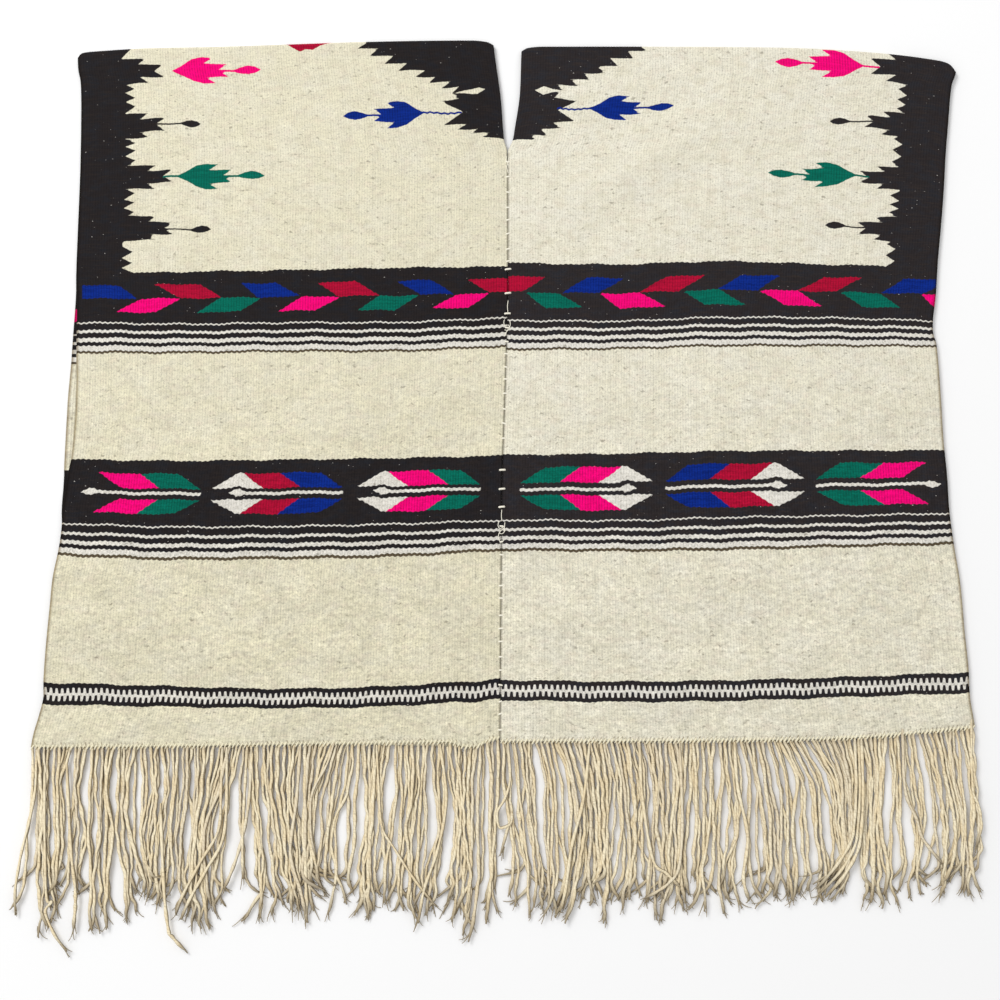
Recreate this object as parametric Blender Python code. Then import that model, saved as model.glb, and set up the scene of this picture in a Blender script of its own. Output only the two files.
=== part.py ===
"""A Mexican serape of the poncho kind, laid flat with its front up.

Two loom widths of wool cloth meet at a centre seam, which is left open at the neck. Each
panel is one length of cloth folded over at the shoulder, so it has a front layer lying on
a back layer. The warp ends hang out of both hems as fringe.

X runs across the garment, +Y points to the shoulder fold and +Z up from the floor. Tables
are in millimetres: "across" from the centre seam, minus to the left, and "down" from the
shoulder fold towards the hem. Left and right are as seen from the front.
"""
import math

import bmesh
import bpy
from mathutils import Vector

MM = 0.001

# Cloth, in millimetres
CLOTH_THICK = 2.4
LAYER_GAP = 0.4
SEAM_GAP = 0.3
FOLD_HEIGHT = 6.8
FOLD_REACH = 34.0
BACK_SLIT_EASE = 1.5
LAYER_LIFT = 0.5

# How finely each panel is divided
PANEL_COLUMNS = 14
LAYER_ROWS = 15
ROW_CROWDING = 1.25  # above 1, rows lie closer together near the shoulder fold
FOLD_STEPS = 4

# Fringe, in millimetres
LOCKS = 60
LOCK_WIDTH = 4.6
LOCK_THICK = 2.0
LOCK_RINGS = 3
LEAN_CURVE = 1.4  # above 1, a lock leaves the hem straight and leans more towards its tip
TIP_SHARE = 0.45
TAPER_CURVE = 3  # a lock keeps its width along most of its length
STRIP_DEPTH = 3.0
STRIP_THICK = 2.0
FLOOR_CLEARANCE = 0.3
FRINGE_GAP = 0.3
FRONT_FRINGE_LIFT = 0.5

CREAM_WOOL = (0.66, 0.62, 0.50, 1.0)
WARP_TAN = (0.55, 0.46, 0.30, 1.0)

LEFT, RIGHT = "left", "right"
FRONT, BACK = "front", "back"

# Selvedges of the front layer
EDGE_COLUMNS = ("down", "left", "right")
EDGES = (
    (10, -621, 668),
    (35, -618, 668),
    (80, -610, 657),
    (190, -608, 645),
    (300, -607, 632),
    (415, -605, 620),
    (540, -600, 622),
    (640, -607, 627),
    (740, -616, 634),
    (900, -626, 645),
    (1020, -641, 651),
)

# Inner edge of each panel: the open neck slit, then the seam
INNER_COLUMNS = ("down", "left", "right")
INNER = (
    (-6, -10, 32),
    (20, -7, 31),
    (80, 1, 28.5),
    (128, 4.5, 21.5),
    (148, 6.5, 18),
    (164, 10.5, 11.5),
    (240, 11.5, 11.5),
    (370, 11.5, 11.5),
    (530, 7, 7),
    (650, 3, 3),
    (820, 1.5, 1.5),
    (1020, 0, 0),
)
SLIT_END = 164.0

# The shoulder fold and the hem run a little uneven from the seam to the selvedge
RUN_COLUMNS = ("share", "left", "right")
FOLD_LINE = (
    (0.00, -2.5, 7.0),
    (0.05, -5.5, 3.5),
    (0.30, -3.0, 3.2),
    (0.65, 3.0, 5.5),
    (0.85, 6.0, 14.0),
    (0.96, 9.5, 25.0),
    (1.00, 17.0, 38.0),
)
HEM_LINE = (
    (0.00, 1010, 1010),
    (0.43, 1014, 1009),
    (0.75, 1017, 1005),
    (1.00, 1018, 991),
)

# How far the hidden back layer stands out past the front's selvedge, and stops short of its hem
BACK_COLUMNS = ("down", "left", "right")
BACK_EDGE = (
    (40, 0, 0),
    (180, 0, -4),
    (330, 1, -4),
    (430, 5, -4),
    (560, 10, -4),
    (640, 6, -4),
    (700, -3, -4),
    (900, -4, -4),
    (1000, 2, -4),
)
BACK_HEM_SHORT = (
    (0.00, 5, 5),
    (0.80, 6, 5),
    (0.94, 14, 6),
    (1.00, 26, 8),
)

# Soft folds of the front layer: a ridge, or a trough where the height is below zero
SOFT_FOLD_COLUMNS = ("across", "down", "length", "width", "height", "turn")
SOFT_FOLDS = (
    (210, 183, 330, 90, 2.6, 29),
    (235, 86, 190, 70, -1.0, 25),
    (232, 228, 230, 70, -1.0, 30),
    (-75, 520, 230, 80, 2.2, 16),
    (60, 545, 160, 90, 1.6, -22),
    (-545, 792, 170, 80, 3.0, -18),
    (-590, 850, 120, 70, 1.4, 10),
    (-48, 815, 190, 80, 2.4, -8),
    (70, 845, 210, 80, 2.2, 4),
    (300, 803, 260, 110, 2.2, 29),
    (-350, 640, 300, 140, 1.0, 8),
    (430, 470, 320, 150, 1.2, -12),
    (-300, 250, 320, 150, 1.0, -20),
)

# Where the fringe leans and how long it hangs
HANG_COLUMNS = ("across", "lean", "reach")
FRONT_HANG = (
    (-641, -14, 232),
    (-622, -6, 300),
    (-596, 2, 262),
    (-560, 8, 272),
    (-510, -4, 268),
    (-455, 6, 240),
    (-402, -8, 262),
    (-350, 4, 190),
    (-318, -4, 256),
    (-268, 5, 246),
    (-190, -5, 256),
    (-134, 6, 252),
    (-54, -5, 262),
    (0, -4, 245),
    (60, 14, 236),
    (140, 10, 232),
    (215, 16, 240),
    (300, 8, 226),
    (376, 14, 228),
    (457, 10, 217),
    (538, -6, 228),
    (592, 14, 218),
    (651, 4, 208),
)
BACK_HANG = (
    (-641, -6, 262),
    (-590, -9, 240),
    (-520, 8, 252),
    (-430, -8, 262),
    (-350, 4, 214),
    (-290, 8, 244),
    (-200, -6, 244),
    (-110, 7, 240),
    (-30, -7, 246),
    (30, 4, 240),
    (110, 8, 226),
    (200, -5, 236),
    (290, 8, 220),
    (380, -6, 222),
    (470, 8, 214),
    (560, -5, 216),
    (651, 8, 200),
)


def smooth_value(table, columns, name, at):
    """The named column of a table at a place along its first column, on a smooth curve."""
    column = columns.index(name)
    places = [row[0] for row in table]
    if at <= places[0]:
        return table[0][column]
    if at >= places[-1]:
        return table[-1][column]
    upper = next(i for i, place in enumerate(places) if place > at)
    low, high = table[upper - 1], table[upper]
    before = table[max(upper - 2, 0)]
    after = table[min(upper + 1, len(table) - 1)]
    span = high[0] - low[0]
    share = (at - low[0]) / span
    slope_low = span * (high[column] - before[column]) / (high[0] - before[0])
    slope_high = span * (after[column] - low[column]) / (after[0] - low[0])
    rise = high[column] - low[column]
    if slope_low * rise <= 0:
        slope_low = 0.0
    if slope_high * rise <= 0:
        slope_high = 0.0
    cube, square = share**3, share**2
    return (
        (2 * cube - 3 * square + 1) * low[column]
        + (cube - 2 * square + share) * slope_low
        + (3 * square - 2 * cube) * high[column]
        + (cube - square) * slope_high
    )


def outer_edge(side, layer, down):
    """Where a panel's selvedge runs, across, at a place down the cloth."""
    edge = smooth_value(EDGES, EDGE_COLUMNS, side, down)
    if layer == FRONT:
        return edge
    outward = -1 if side == LEFT else 1
    return edge + outward * smooth_value(BACK_EDGE, BACK_COLUMNS, side, down)


def inner_edge(side, layer, down):
    """Where a panel's slit and seam edge runs, across, at a place down the cloth."""
    outward = -1 if side == LEFT else 1
    edge = smooth_value(INNER, INNER_COLUMNS, side, down) + outward * SEAM_GAP / 2
    if layer == BACK and 0 < down < SLIT_END:
        edge += outward * BACK_SLIT_EASE * math.sin(math.pi * down / SLIT_END)
    return edge


def fold_line(side, share):
    """How far down the shoulder fold lies, at a share of the panel's width from the seam."""
    return smooth_value(FOLD_LINE, RUN_COLUMNS, side, share)


def hem_line(side, layer, share):
    """How far down the hem lies, at a share of the panel's width from the seam."""
    hem = smooth_value(HEM_LINE, RUN_COLUMNS, side, share)
    if layer == BACK:
        hem -= smooth_value(BACK_HEM_SHORT, RUN_COLUMNS, side, share)
    return hem


def across_at(side, layer, share, down):
    inner = inner_edge(side, layer, down)
    return inner + share * (outer_edge(side, layer, down) - inner)


def front_lift(across, down):
    """How far the front layer's underside stands above the back layer, at least the gap."""
    height = LAYER_LIFT
    for middle, depth, length, width, rise, turn in SOFT_FOLDS:
        angle = math.radians(turn)
        along = (across - middle) * math.cos(angle) - (down - depth) * math.sin(angle)
        aside = (across - middle) * math.sin(angle) + (down - depth) * math.cos(angle)
        height += rise * math.exp(-((2 * along / length) ** 2) - (2 * aside / width) ** 2)
    return LAYER_GAP + max(height, 0.0)


def front_underside(across, down, fold):
    """Height of the front layer's underside, rising to the roll at the shoulder fold."""
    flat = CLOTH_THICK + front_lift(across, down)
    rolled = FOLD_HEIGHT - CLOTH_THICK
    near_fold = math.exp(-(((down - fold) / FOLD_REACH) ** 2))
    return flat + (rolled - flat) * near_fold


def wall_section(side, share):
    """The panel's wall from front hem over the fold to back hem: pairs of outer and inner
    points, each (across, down, height)."""
    fold = fold_line(side, share)
    roll_outer = FOLD_HEIGHT / 2
    roll_inner = roll_outer - CLOTH_THICK
    start = fold + roll_outer
    pairs = []

    front_hem = hem_line(side, FRONT, share)
    for row in range(LAYER_ROWS, -1, -1):
        down = start + (front_hem - start) * (row / LAYER_ROWS) ** ROW_CROWDING
        across = across_at(side, FRONT, share, down)
        under = front_underside(across, down, fold) if row else FOLD_HEIGHT - CLOTH_THICK
        pairs.append(((across, down, under + CLOTH_THICK), (across, down, under)))

    for step in range(1, FOLD_STEPS):
        angle = math.pi * step / FOLD_STEPS
        pair = []
        for radius in (roll_outer, roll_inner):
            down = start - radius * math.sin(angle)
            height = roll_outer + radius * math.cos(angle)
            pair.append((across_at(side, FRONT, share, down), down, height))
        pairs.append(tuple(pair))

    back_hem = hem_line(side, BACK, share)
    for row in range(LAYER_ROWS + 1):
        down = start + (back_hem - start) * (row / LAYER_ROWS) ** ROW_CROWDING
        across = across_at(side, BACK, share, down)
        pairs.append(((across, down, 0.0), (across, down, CLOTH_THICK)))
    return pairs


def place(across, down, height):
    """A point of the garment in metres: down the cloth is -Y."""
    return Vector((across * MM, -down * MM, height * MM))


def wool_material(name, colour):
    material = bpy.data.materials.new(name)
    material.use_nodes = True
    shader = material.node_tree.nodes["Principled BSDF"]
    shader.inputs["Base Color"].default_value = colour
    shader.inputs["Roughness"].default_value = 0.9
    shader.inputs["Metallic"].default_value = 0.0
    return material


def finished_object(name, mesh_maker, material):
    """Turn a bmesh into a named object with its faces pointing out."""
    bmesh.ops.recalc_face_normals(mesh_maker, faces=mesh_maker.faces)
    mesh = bpy.data.meshes.new(name)
    mesh_maker.to_mesh(mesh)
    mesh_maker.free()
    mesh.materials.append(material)
    mesh.shade_smooth()
    mesh.set_sharp_from_angle(angle=math.radians(50))
    thing = bpy.data.objects.new(name, mesh)
    bpy.context.collection.objects.link(thing)
    return thing


def make_panel(side, material):
    """One loom width: a grid of wall sections from the seam to the selvedge, closed all round."""
    maker = bmesh.new()
    outer, inner = [], []
    for column in range(PANEL_COLUMNS + 1):
        pairs = wall_section(side, column / PANEL_COLUMNS)
        outer.append([maker.verts.new(place(*pair[0])) for pair in pairs])
        inner.append([maker.verts.new(place(*pair[1])) for pair in pairs])
    last = len(outer[0]) - 1

    for column in range(PANEL_COLUMNS):
        for row in range(last):
            for skin in (outer, inner):
                here, beside = skin[column], skin[column + 1]
                maker.faces.new((here[row], beside[row], beside[row + 1], here[row + 1]))
        for row in (0, last):
            maker.faces.new(
                (outer[column][row], outer[column + 1][row], inner[column + 1][row], inner[column][row])
            )
    for column in (0, PANEL_COLUMNS):
        for row in range(last):
            maker.faces.new(
                (outer[column][row], outer[column][row + 1], inner[column][row + 1], inner[column][row])
            )
    return finished_object(f"{side}_panel", maker, material)


def lock_path(layer, across, down, base):
    """Ring centres of one lock, from its root at the strip to its tip: (across, down, height)."""
    table = FRONT_HANG if layer == FRONT else BACK_HANG
    lean = smooth_value(table, HANG_COLUMNS, "lean", across)
    reach = smooth_value(table, HANG_COLUMNS, "reach", across)
    rings = []
    for ring in range(LOCK_RINGS + 1):
        share = ring / LOCK_RINGS
        rings.append((across + lean * share**LEAN_CURVE, down + reach * share, base))
    return rings


def make_fringe(side, layer, material):
    """The warp ends of one hem: locks that grow out of a narrow strip just off the cloth."""
    outward = -1 if side == LEFT else 1
    if layer == FRONT:
        base = CLOTH_THICK + LAYER_GAP + FRONT_FRINGE_LIFT
    else:
        base = FLOOR_CLEARANCE
    top = base + STRIP_THICK
    low = base + (STRIP_THICK - LOCK_THICK) / 2
    high = low + LOCK_THICK

    inner = inner_edge(side, layer, hem_line(side, layer, 0.0))
    outer = outer_edge(side, layer, hem_line(side, layer, 1.0))
    width = abs(outer - inner)
    pitch = width / LOCKS
    half = LOCK_WIDTH / 2

    maker = bmesh.new()

    def strip_ends(distance):
        """Corners of the strip's section at a distance from the seam: hem side, then lock side."""
        across = inner + outward * distance
        hem_side = hem_line(side, layer, distance / width) + FRINGE_GAP
        return [
            maker.verts.new(place(across, hem_side + deep, height))
            for deep in (0.0, STRIP_DEPTH)
            for height in (base, top)
        ]

    stations = [0.0]
    for lock in range(LOCKS):
        middle = (lock + 0.5) * pitch
        stations += [middle - half, middle + half]
    stations.append(width)
    sections = [strip_ends(distance) for distance in stations]

    def wall(a, b, c, d):
        return maker.faces.new((a, b, c, d))

    for number, (here, beside) in enumerate(zip(sections, sections[1:])):
        wall(here[0], here[1], beside[1], beside[0])
        wall(here[0], here[2], beside[2], beside[0])
        wall(here[1], here[3], beside[3], beside[1])
        if number % 2 == 0:
            wall(here[2], here[3], beside[3], beside[2])
            continue
        middle = (stations[number] + stations[number + 1]) / 2
        across = inner + outward * middle
        down = hem_line(side, layer, middle / width) + FRINGE_GAP + STRIP_DEPTH
        rings = lock_path(layer, across, down, low)
        ring = [here[2], here[3], beside[3], beside[2]]
        for step, (ring_across, ring_down, ring_low) in enumerate(rings[1:], start=1):
            taper = 1 - (1 - TIP_SHARE) * (step / LOCK_RINGS) ** TAPER_CURVE
            spread = outward * half * taper
            corners = (
                (-spread, 0.0),
                (-spread, LOCK_THICK * taper),
                (spread, LOCK_THICK * taper),
                (spread, 0.0),
            )
            following = [
                maker.verts.new(place(ring_across + aside, ring_down, ring_low + rise))
                for aside, rise in corners
            ]
            for corner in range(4):
                after = (corner + 1) % 4
                wall(ring[corner], ring[after], following[after], following[corner])
            ring = following
        maker.faces.new(ring)
    for end in (sections[0], sections[-1]):
        wall(end[0], end[1], end[3], end[2])
    return finished_object(f"{side}_{layer}_fringe", maker, material)


def centre_on_floor(things):
    """Move everything so that the origin is under the middle of the part, on the floor."""
    bpy.context.view_layer.update()
    corners = [thing.matrix_world @ Vector(corner) for thing in things for corner in thing.bound_box]
    middle_x = (min(c.x for c in corners) + max(c.x for c in corners)) / 2
    middle_y = (min(c.y for c in corners) + max(c.y for c in corners)) / 2
    lowest = min(c.z for c in corners)
    for thing in things:
        thing.location = (-middle_x, -middle_y, -lowest)


def main():
    for old in list(bpy.data.objects):
        bpy.data.objects.remove(old, do_unlink=True)
    cloth = wool_material("cream_wool", CREAM_WOOL)
    warp = wool_material("warp_tan", WARP_TAN)
    things = []
    for side in (LEFT, RIGHT):
        things.append(make_panel(side, cloth))
        for layer in (FRONT, BACK):
            things.append(make_fringe(side, layer, warp))
    centre_on_floor(things)


main()
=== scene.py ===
"""How the serape looks: woven cloth, sewn seam and twisted fringe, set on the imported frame.

Tables are in millimetres. "across" and "down" are places on the floor, measured from the
centre seam and from the shoulder fold. "rib" and "weft" are places in the weave: how far a
warp rib lies from the seam, and how far a weft lies from the shoulder fold.
"""
import math

import bpy
import numpy as np
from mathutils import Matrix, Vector


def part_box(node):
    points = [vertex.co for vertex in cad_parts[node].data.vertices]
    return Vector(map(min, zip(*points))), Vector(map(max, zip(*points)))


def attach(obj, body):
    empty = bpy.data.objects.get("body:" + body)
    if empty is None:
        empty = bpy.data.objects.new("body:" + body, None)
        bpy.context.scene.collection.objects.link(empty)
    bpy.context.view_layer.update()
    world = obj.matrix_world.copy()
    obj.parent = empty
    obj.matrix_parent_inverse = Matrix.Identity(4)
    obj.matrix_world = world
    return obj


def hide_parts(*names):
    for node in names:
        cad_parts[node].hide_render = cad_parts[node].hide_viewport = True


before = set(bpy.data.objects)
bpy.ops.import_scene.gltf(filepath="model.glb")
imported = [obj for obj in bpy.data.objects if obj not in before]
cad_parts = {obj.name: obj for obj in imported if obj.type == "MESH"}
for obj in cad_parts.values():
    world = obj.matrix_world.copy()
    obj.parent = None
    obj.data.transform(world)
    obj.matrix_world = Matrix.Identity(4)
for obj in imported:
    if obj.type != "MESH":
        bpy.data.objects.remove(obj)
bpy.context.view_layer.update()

MM = 0.001
LEFT, RIGHT = "left", "right"
FRONT, BACK = "front", "back"
SIDES, LAYERS = (LEFT, RIGHT), (FRONT, BACK)
OUTWARD = {LEFT: -1, RIGHT: 1}  # which way across leads from the seam to the selvedge

# ---------------------------------------------------------------- the garment's form
CLOTH_THICK = 2.4
LAYER_GAP = 0.4
SEAM_GAP = 0.3
FOLD_HEIGHT = 6.8
FOLD_REACH = 34.0
BACK_SLIT_EASE = 1.5
LAYER_LIFT = 1.3
SLIT_END = 164.0
PANEL_WIDTH = 625.0
RIBS = 162
RIB_PITCH = PANEL_WIDTH / RIBS

# Where each selvedge runs: (down, across)
EDGES = {
    LEFT: (
        (10, -621), (38, -619), (56, -615), (80, -613), (110, -611.7), (150, -610.5), (200, -609.5),
        (300, -609.2), (346, -608.8), (375, -606.5), (417, -605), (461, -603.8), (504, -602),
        (548, -601.4), (591, -602.8), (619, -604.8), (634, -607.3), (662, -610.2), (690, -613.2),
        (718, -613.9), (746, -616.5), (790, -623.5), (830, -625.5), (880, -628.3), (926, -629.5),
        (950, -628.5), (975, -633.6), (1000, -640), (1020, -643),
    ),
    RIGHT: (
        (10, 668), (42, 669), (50, 666.5), (60, 662.5), (80, 659), (105, 656), (130, 653), (167, 648.5),
        (221, 643.3), (275, 637), (329, 630), (382, 624.5), (417, 619), (435, 618.5), (452, 622.5),
        (522, 625.2), (591, 626.5), (642, 629.2), (693, 630.3), (744, 635), (794, 640.8), (860, 643.8),
        (910, 646.8), (950, 647), (991, 652), (1020, 653),
    ),
}
# Where the slit and the seam edges run: (down, across on the left, on the right)
INNER = (
    (-6, -10, 32), (20, -7, 31), (80, 1, 28.5), (128, 4.5, 21.5), (148, 6.5, 18), (164, 10.5, 11.5),
    (240, 11.5, 11.5), (370, 11.5, 11.5), (530, 7, 7), (650, 3, 3), (820, 1.5, 1.5), (1020, 0, 0),
)
# How far down the fold and the hem lie: (share of the width from the seam, left, right)
FOLD_LINE = (
    (0.000, -1.0, 8.5), (0.012, -5.0, 4.2), (0.050, -7.6, 2.0), (0.300, -5.4, 2.1), (0.650, 2.2, 4.6),
    (0.850, 5.1, 13.5), (0.960, 9.5, 23.2), (0.985, 11.2, 28.0), (0.995, 13.5, 34.0), (1.000, 18.0, 40.0),
)
HEM_LINE = ((0.00, 1010, 1010), (0.43, 1014, 1009), (0.75, 1017, 1005), (1.00, 1018, 991))
# How far the back layer's selvedges lie past the front's: (down, left, right)
BACK_EDGE = (
    (40, 0, 0), (180, 0, -4), (330, 1, -4), (385, 3.2, -4), (430, 5.8, -4), (474, 8.3, -4), (504, 11, -4),
    (533, 12.8, -4), (561, 13, -4), (590, 12.2, -4), (619, 10.4, -4), (640, 6.8, -4), (675, 4, -4),
    (704, 1.7, -4), (760, -3, -4), (900, -4, -4), (1000, 2, -4),
)
# How far the back layer falls short at the hem, and how far both layers dip there: as above
BACK_HEM_SHORT = ((0.00, 5, 5), (0.80, 6, 5), (0.94, 14, 6), (1.00, 26, 8))
HEM_DIP = ((0.00, -4, 0), (0.025, -1, 0), (0.05, 7, 0), (0.075, 7, 0), (0.11, 0, 0), (1.00, 0, 0))

# Broad soft folds of the front layer: a ridge, or a trough where the height is below zero
# (across, down, length, width, height, turn)
SOFT_FOLDS = (
    (210, 183, 330, 90, 2.6, 29), (235, 86, 190, 70, -1.0, 25), (232, 228, 230, 70, -1.0, 30),
    (-75, 520, 230, 80, 2.2, 16), (60, 545, 160, 90, 1.6, -22), (-545, 792, 170, 80, 3.0, -18),
    (-590, 850, 120, 70, 1.4, 10), (-48, 815, 190, 80, 2.4, -8), (70, 845, 210, 80, 2.2, 4),
    (300, 803, 260, 110, 2.2, 29), (-350, 640, 300, 140, 1.0, 8), (430, 470, 320, 150, 1.2, -12),
    (-300, 250, 320, 150, 1.0, -20),
)
# Finer creases on top of them
FINE_CREASES = (
    (208, 182, 210, 26, 1.5, 29), (238, 88, 150, 26, -1.2, 25), (232, 228, 200, 30, -1.2, 30),
    (-75, 534, 150, 26, 1.2, 16), (-75, 556, 90, 24, -1.2, 2), (-32, 582, 40, 30, -1.0, 60),
    (46, 552, 80, 26, -1.1, -18), (-541, 795, 90, 26, 1.4, -18), (-573, 816, 110, 26, -1.8, -16),
    (-593, 881, 70, 24, -1.4, -24), (-50, 776, 90, 24, -1.2, -6), (-17, 806, 60, 22, 1.2, 10),
    (-53, 880, 90, 22, -1.3, 44), (55, 845, 100, 24, 1.3, -6), (50, 880, 70, 24, -1.3, -34),
    (301, 802, 120, 28, 1.5, 29), (314, 852, 90, 26, -1.4, 34), (-420, 500, 190, 40, 0.7, 12),
    (-250, 610, 160, 34, -0.6, -8), (250, 505, 210, 44, 0.7, -14), (480, 520, 150, 40, -0.6, 18),
    (470, 860, 190, 40, 0.8, -20), (-320, 880, 210, 44, 0.7, 14), (-210, 845, 120, 34, -0.7, -28),
    (560, 760, 90, 36, 0.8, 50), (-430, 190, 200, 44, 0.6, 22), (420, 240, 220, 48, 0.6, -18),
    (120, 300, 150, 36, -0.6, 40), (-140, 240, 170, 40, -0.5, -30), (200, 960, 160, 34, 0.6, 6),
    (-470, 960, 140, 34, 0.6, -8),
)

# How the wefts run: the place down of each, at five shares of the width from the seam
WEFT_SHARES = (0.0, 0.25, 0.5, 0.75, 1.0)
WEFT_LINES = {
    LEFT: (
        (338, 337.5, 339.2, 342.6, 345.2, 349.5), (416, 412, 419, 419.5, 421.7, 419.2),
        (458, 455.5, 462.3, 462.5, 464.8, 464.3), (613, 613, 616.5, 618.8, 620.5, 618.3),
        (705, 704, 709.4, 712.6, 713.5, 708.3), (749, 746.5, 755.3, 758.2, 759.4, 753.3),
        (929, 925, 935.2, 938.4, 934.5, 930), (955, 950, 960.7, 962.9, 960.6, 957.6),
        (1011, 1010, 1012, 1014.5, 1017, 1018),
    ),
    RIGHT: (
        (338, 332, 334.2, 329.5, 334.5, 338.5), (416, 416, 417.5, 411.8, 412.6, 417),
        (458, 460, 459.1, 454.6, 454.9, 455.2), (613, 612, 610.2, 606.4, 605.7, 605.3),
        (705, 703.4, 704.6, 700, 697.6, 694.2), (749, 746.6, 747.4, 745.6, 741.4, 737.9),
        (929, 926.5, 928.7, 926.7, 922.2, 916), (955, 952, 954.4, 952.7, 947.4, 942.5),
        (1011, 1010, 1009.5, 1008.5, 1005, 991),
    ),
}
HEM_WEFT = 1011.0
# Wefts wave a little: how far, how much of that the short wave has, how long the two waves
# are, and how many wefts shift them by a radian
WAVE_ACROSS, SHORT_WAVE = 0.8, 0.6
WAVE_LENGTHS, WAVE_DRIFTS = (97.0, 41.0), (37, 23)
# Neighbouring ribs show the same weft a little higher and lower, most of all in the stripes:
# (weft, how far)
ZIGZAG = ((0, 0.0), (8, 0.15), (330, 0.15), (338, 0.55), (412, 0.55), (416, 0.85), (458, 0.85))
ZIGZAG += ((613, 0.6), (652, 0.6), (700, 0.6), (706, 0.85), (760, 0.85), (929, 0.5), (1011, 0.2))
RIB_RELIEF = 0.3

# ---------------------------------------------------------------- the weave's chart
CENTRE_WEFT = -7.5  # the pattern is mirrored here, just past the shoulder fold
BORDER_RIB = {LEFT: 560.0, RIGHT: 562.5}
# How far dark shapes reach past the panel's edges, past their last weft and into each other
PAST_SEAM, PAST_SELVEDGE, PAST_END, ROOT_IN = 30, 20, 10, 4
BAND_1 = (338.0, 416.0)
BAND_2 = (613.0, 705.0)
# Dark stripes from the foot of each band on, and dark checks from the first of their wefts on,
# on even and on odd ribs: (from, to)
DARK_STRIPES_1 = ((1.9, 10.8), (14.6, 21.6), (27.2, 32.3), (39.5, 42.8))
DARK_STRIPES_2 = ((1.9, 12.0), (15.7, 23.4), (28.7, 34.2), (41.4, 45.4))
ZIP_TOP = 929.0
ZIP_DARK_EVEN = ((0.0, 12.4), (22.4, 28.2))
ZIP_DARK_ODD = ((0.0, 6.4), (16.0, 28.2))

STEP_BACK = ((25.0, 18.5), (37.7, 10.0), (0.0, 9.7), (14.3, 0.0))  # (short of its reach, aside)
STEP_NOTCH = 19.5
STEP_STEM = (3, 27)  # where a step's stem starts behind its back and ends in its bud
BORDER_BUD = ((-0.5, 0.4), (5, -3.6), (13, -5.4), (20, -4.4), (30, -0.9))
BORDER_BUD += ((30, 0.9), (20, 4.4), (13, 5.4), (5, 3.8))
# (weft, reach, height, bud rib, bud weft)
BORDER_STEPS = {
    LEFT: (
        (37.5, 61.7, 1.0, None, None), (119.4, 59.3, 0.97, 448, 118), (196.5, 70, 0.93, None, None),
        (272.8, 73.5, 0.95, 432, 277),
    ),
    RIGHT: (
        (24.4, 59.5, 1.27, None, None), (113.5, 58.3, 0.97, 454, 114.7), (200, 60, 0.95, None, None),
        (280.5, 58.8, 0.98, 458, 277.4),
    ),
}
# The saw teeth between the steps: wefts of notch, tip, notch and so on
SAW_REACH = {LEFT: 15.5, RIGHT: 13.7}
BORDER_SAW = {
    LEFT: (
        (-10, 2, 17), (55.5, 65, 68.5, 78.4, 82.2, 91, 99.4),
        (138.7, 144.3, 150.3, 155.5, 164.5, 170.6, 180.6), (213.4, 221.5, 230, 235.5, 243, 249.5, 258),
        (298.4, 306.8, 314.7, 322.8, 329),
    ),
    RIGHT: (
        (49, 57.8, 65.7, 74.5, 81, 89.2, 95), (129.5, 136.5, 145.6, 153.8, 165.1, 173, 183.8),
        (220.2, 228.6, 236, 243, 248.5, 255.3, 262.2), (296.5, 303.4, 310.8, 320.5, 329),
    ),
}
BORDER_CORNER = {LEFT: 539, RIGHT: 548.5}

# The teeth round the neck: (tip rib, tip weft, notch rib, notch weft)
NECK_TEETH = {
    LEFT: (
        (204.7, 12.9, 173, 13.8), (187.6, 24.4, 151.6, 25.9), (166.5, 38, 131.8, 36.5),
        (147, 48.3, 106.3, 46.5), (123, 57.5, 93, 57.4), (105, 66.5, 70, 64), (86.5, 74.5, 59.5, 73),
        (71, 81.7, 61, 90.5), (88.6, 93, 56.6, 110.5), (87, 129.3, 52.5, 128), (67.4, 136.3, 36.5, 136.2),
        (49.3, 142, 19, 142.2), (31.4, 149, -9, 148),
    ),
    RIGHT: (
        (182.5, 10.1, 152.8, 10.4), (161, 22.4, 127, 21.1), (139.3, 33.7, 108.4, 33.8),
        (120.8, 43.9, 90, 45), (99.3, 54.6, 70.5, 54.4), (83.4, 64.5, 52, 63.5), (61.2, 72.3, 49, 84),
        (82.8, 87, 57.3, 103), (84.3, 118.5, 53, 121.9), (65.7, 129.8, 35.6, 132), (48.6, 142, 21, 142.3),
        (33.6, 150.3, -9, 146),
    ),
}
NECK_START = {LEFT: (190.6, 5.0), RIGHT: (173.0, 4.7)}

# A flower, as a half outline from its tip: (along, aside)
FLOWER_BODY = ((0, 0), (14, 6.2), (28, 14), (42, 17), (58.5, 16.6), (44.5, 9.2), (77.5, 7.8), (65, 0.8))
FLOWER_BUD = ((86, 0.6), (96, 3.6), (107, 5.4), (117, 3.8), (125, 0.2))
FLOWER_LENGTH = 125.0
FLOWER_STEM = ((58, 0), (94, 0))
STEM_SHARES = (0.3, 0.7)  # of the tip's weft and of the bud's, in the stem's
STEM_HALF = 1.15
TAIL_ROOT, TAIL_WAVES, TAIL_SWAY, SHORT_TAIL = 6, 6, 0.9, 40  # short tails don't wave
# (yarn, tip rib, tip weft, bud rib, bud weft, spread, tail)
FLOWERS = {
    LEFT: (
        ("pink", 485.5, 38.0, 352.8, 40.0, 1.17, 0), ("green", 484.0, 197.5, 355.2, 198.8, 1.10, 20),
        ("blue", 114.8, 111.6, 235.4, 114.3, 1.15, 56),
    ),
    RIGHT: (
        ("pink", 493.8, 25.6, 366.2, 26.2, 1.30, 22), ("green", 499.6, 199.0, 372.2, 201.6, 1.11, 18),
        ("blue", 101.8, 100.2, 224.5, 96.6, 1.09, 46),
    ),
}
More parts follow.
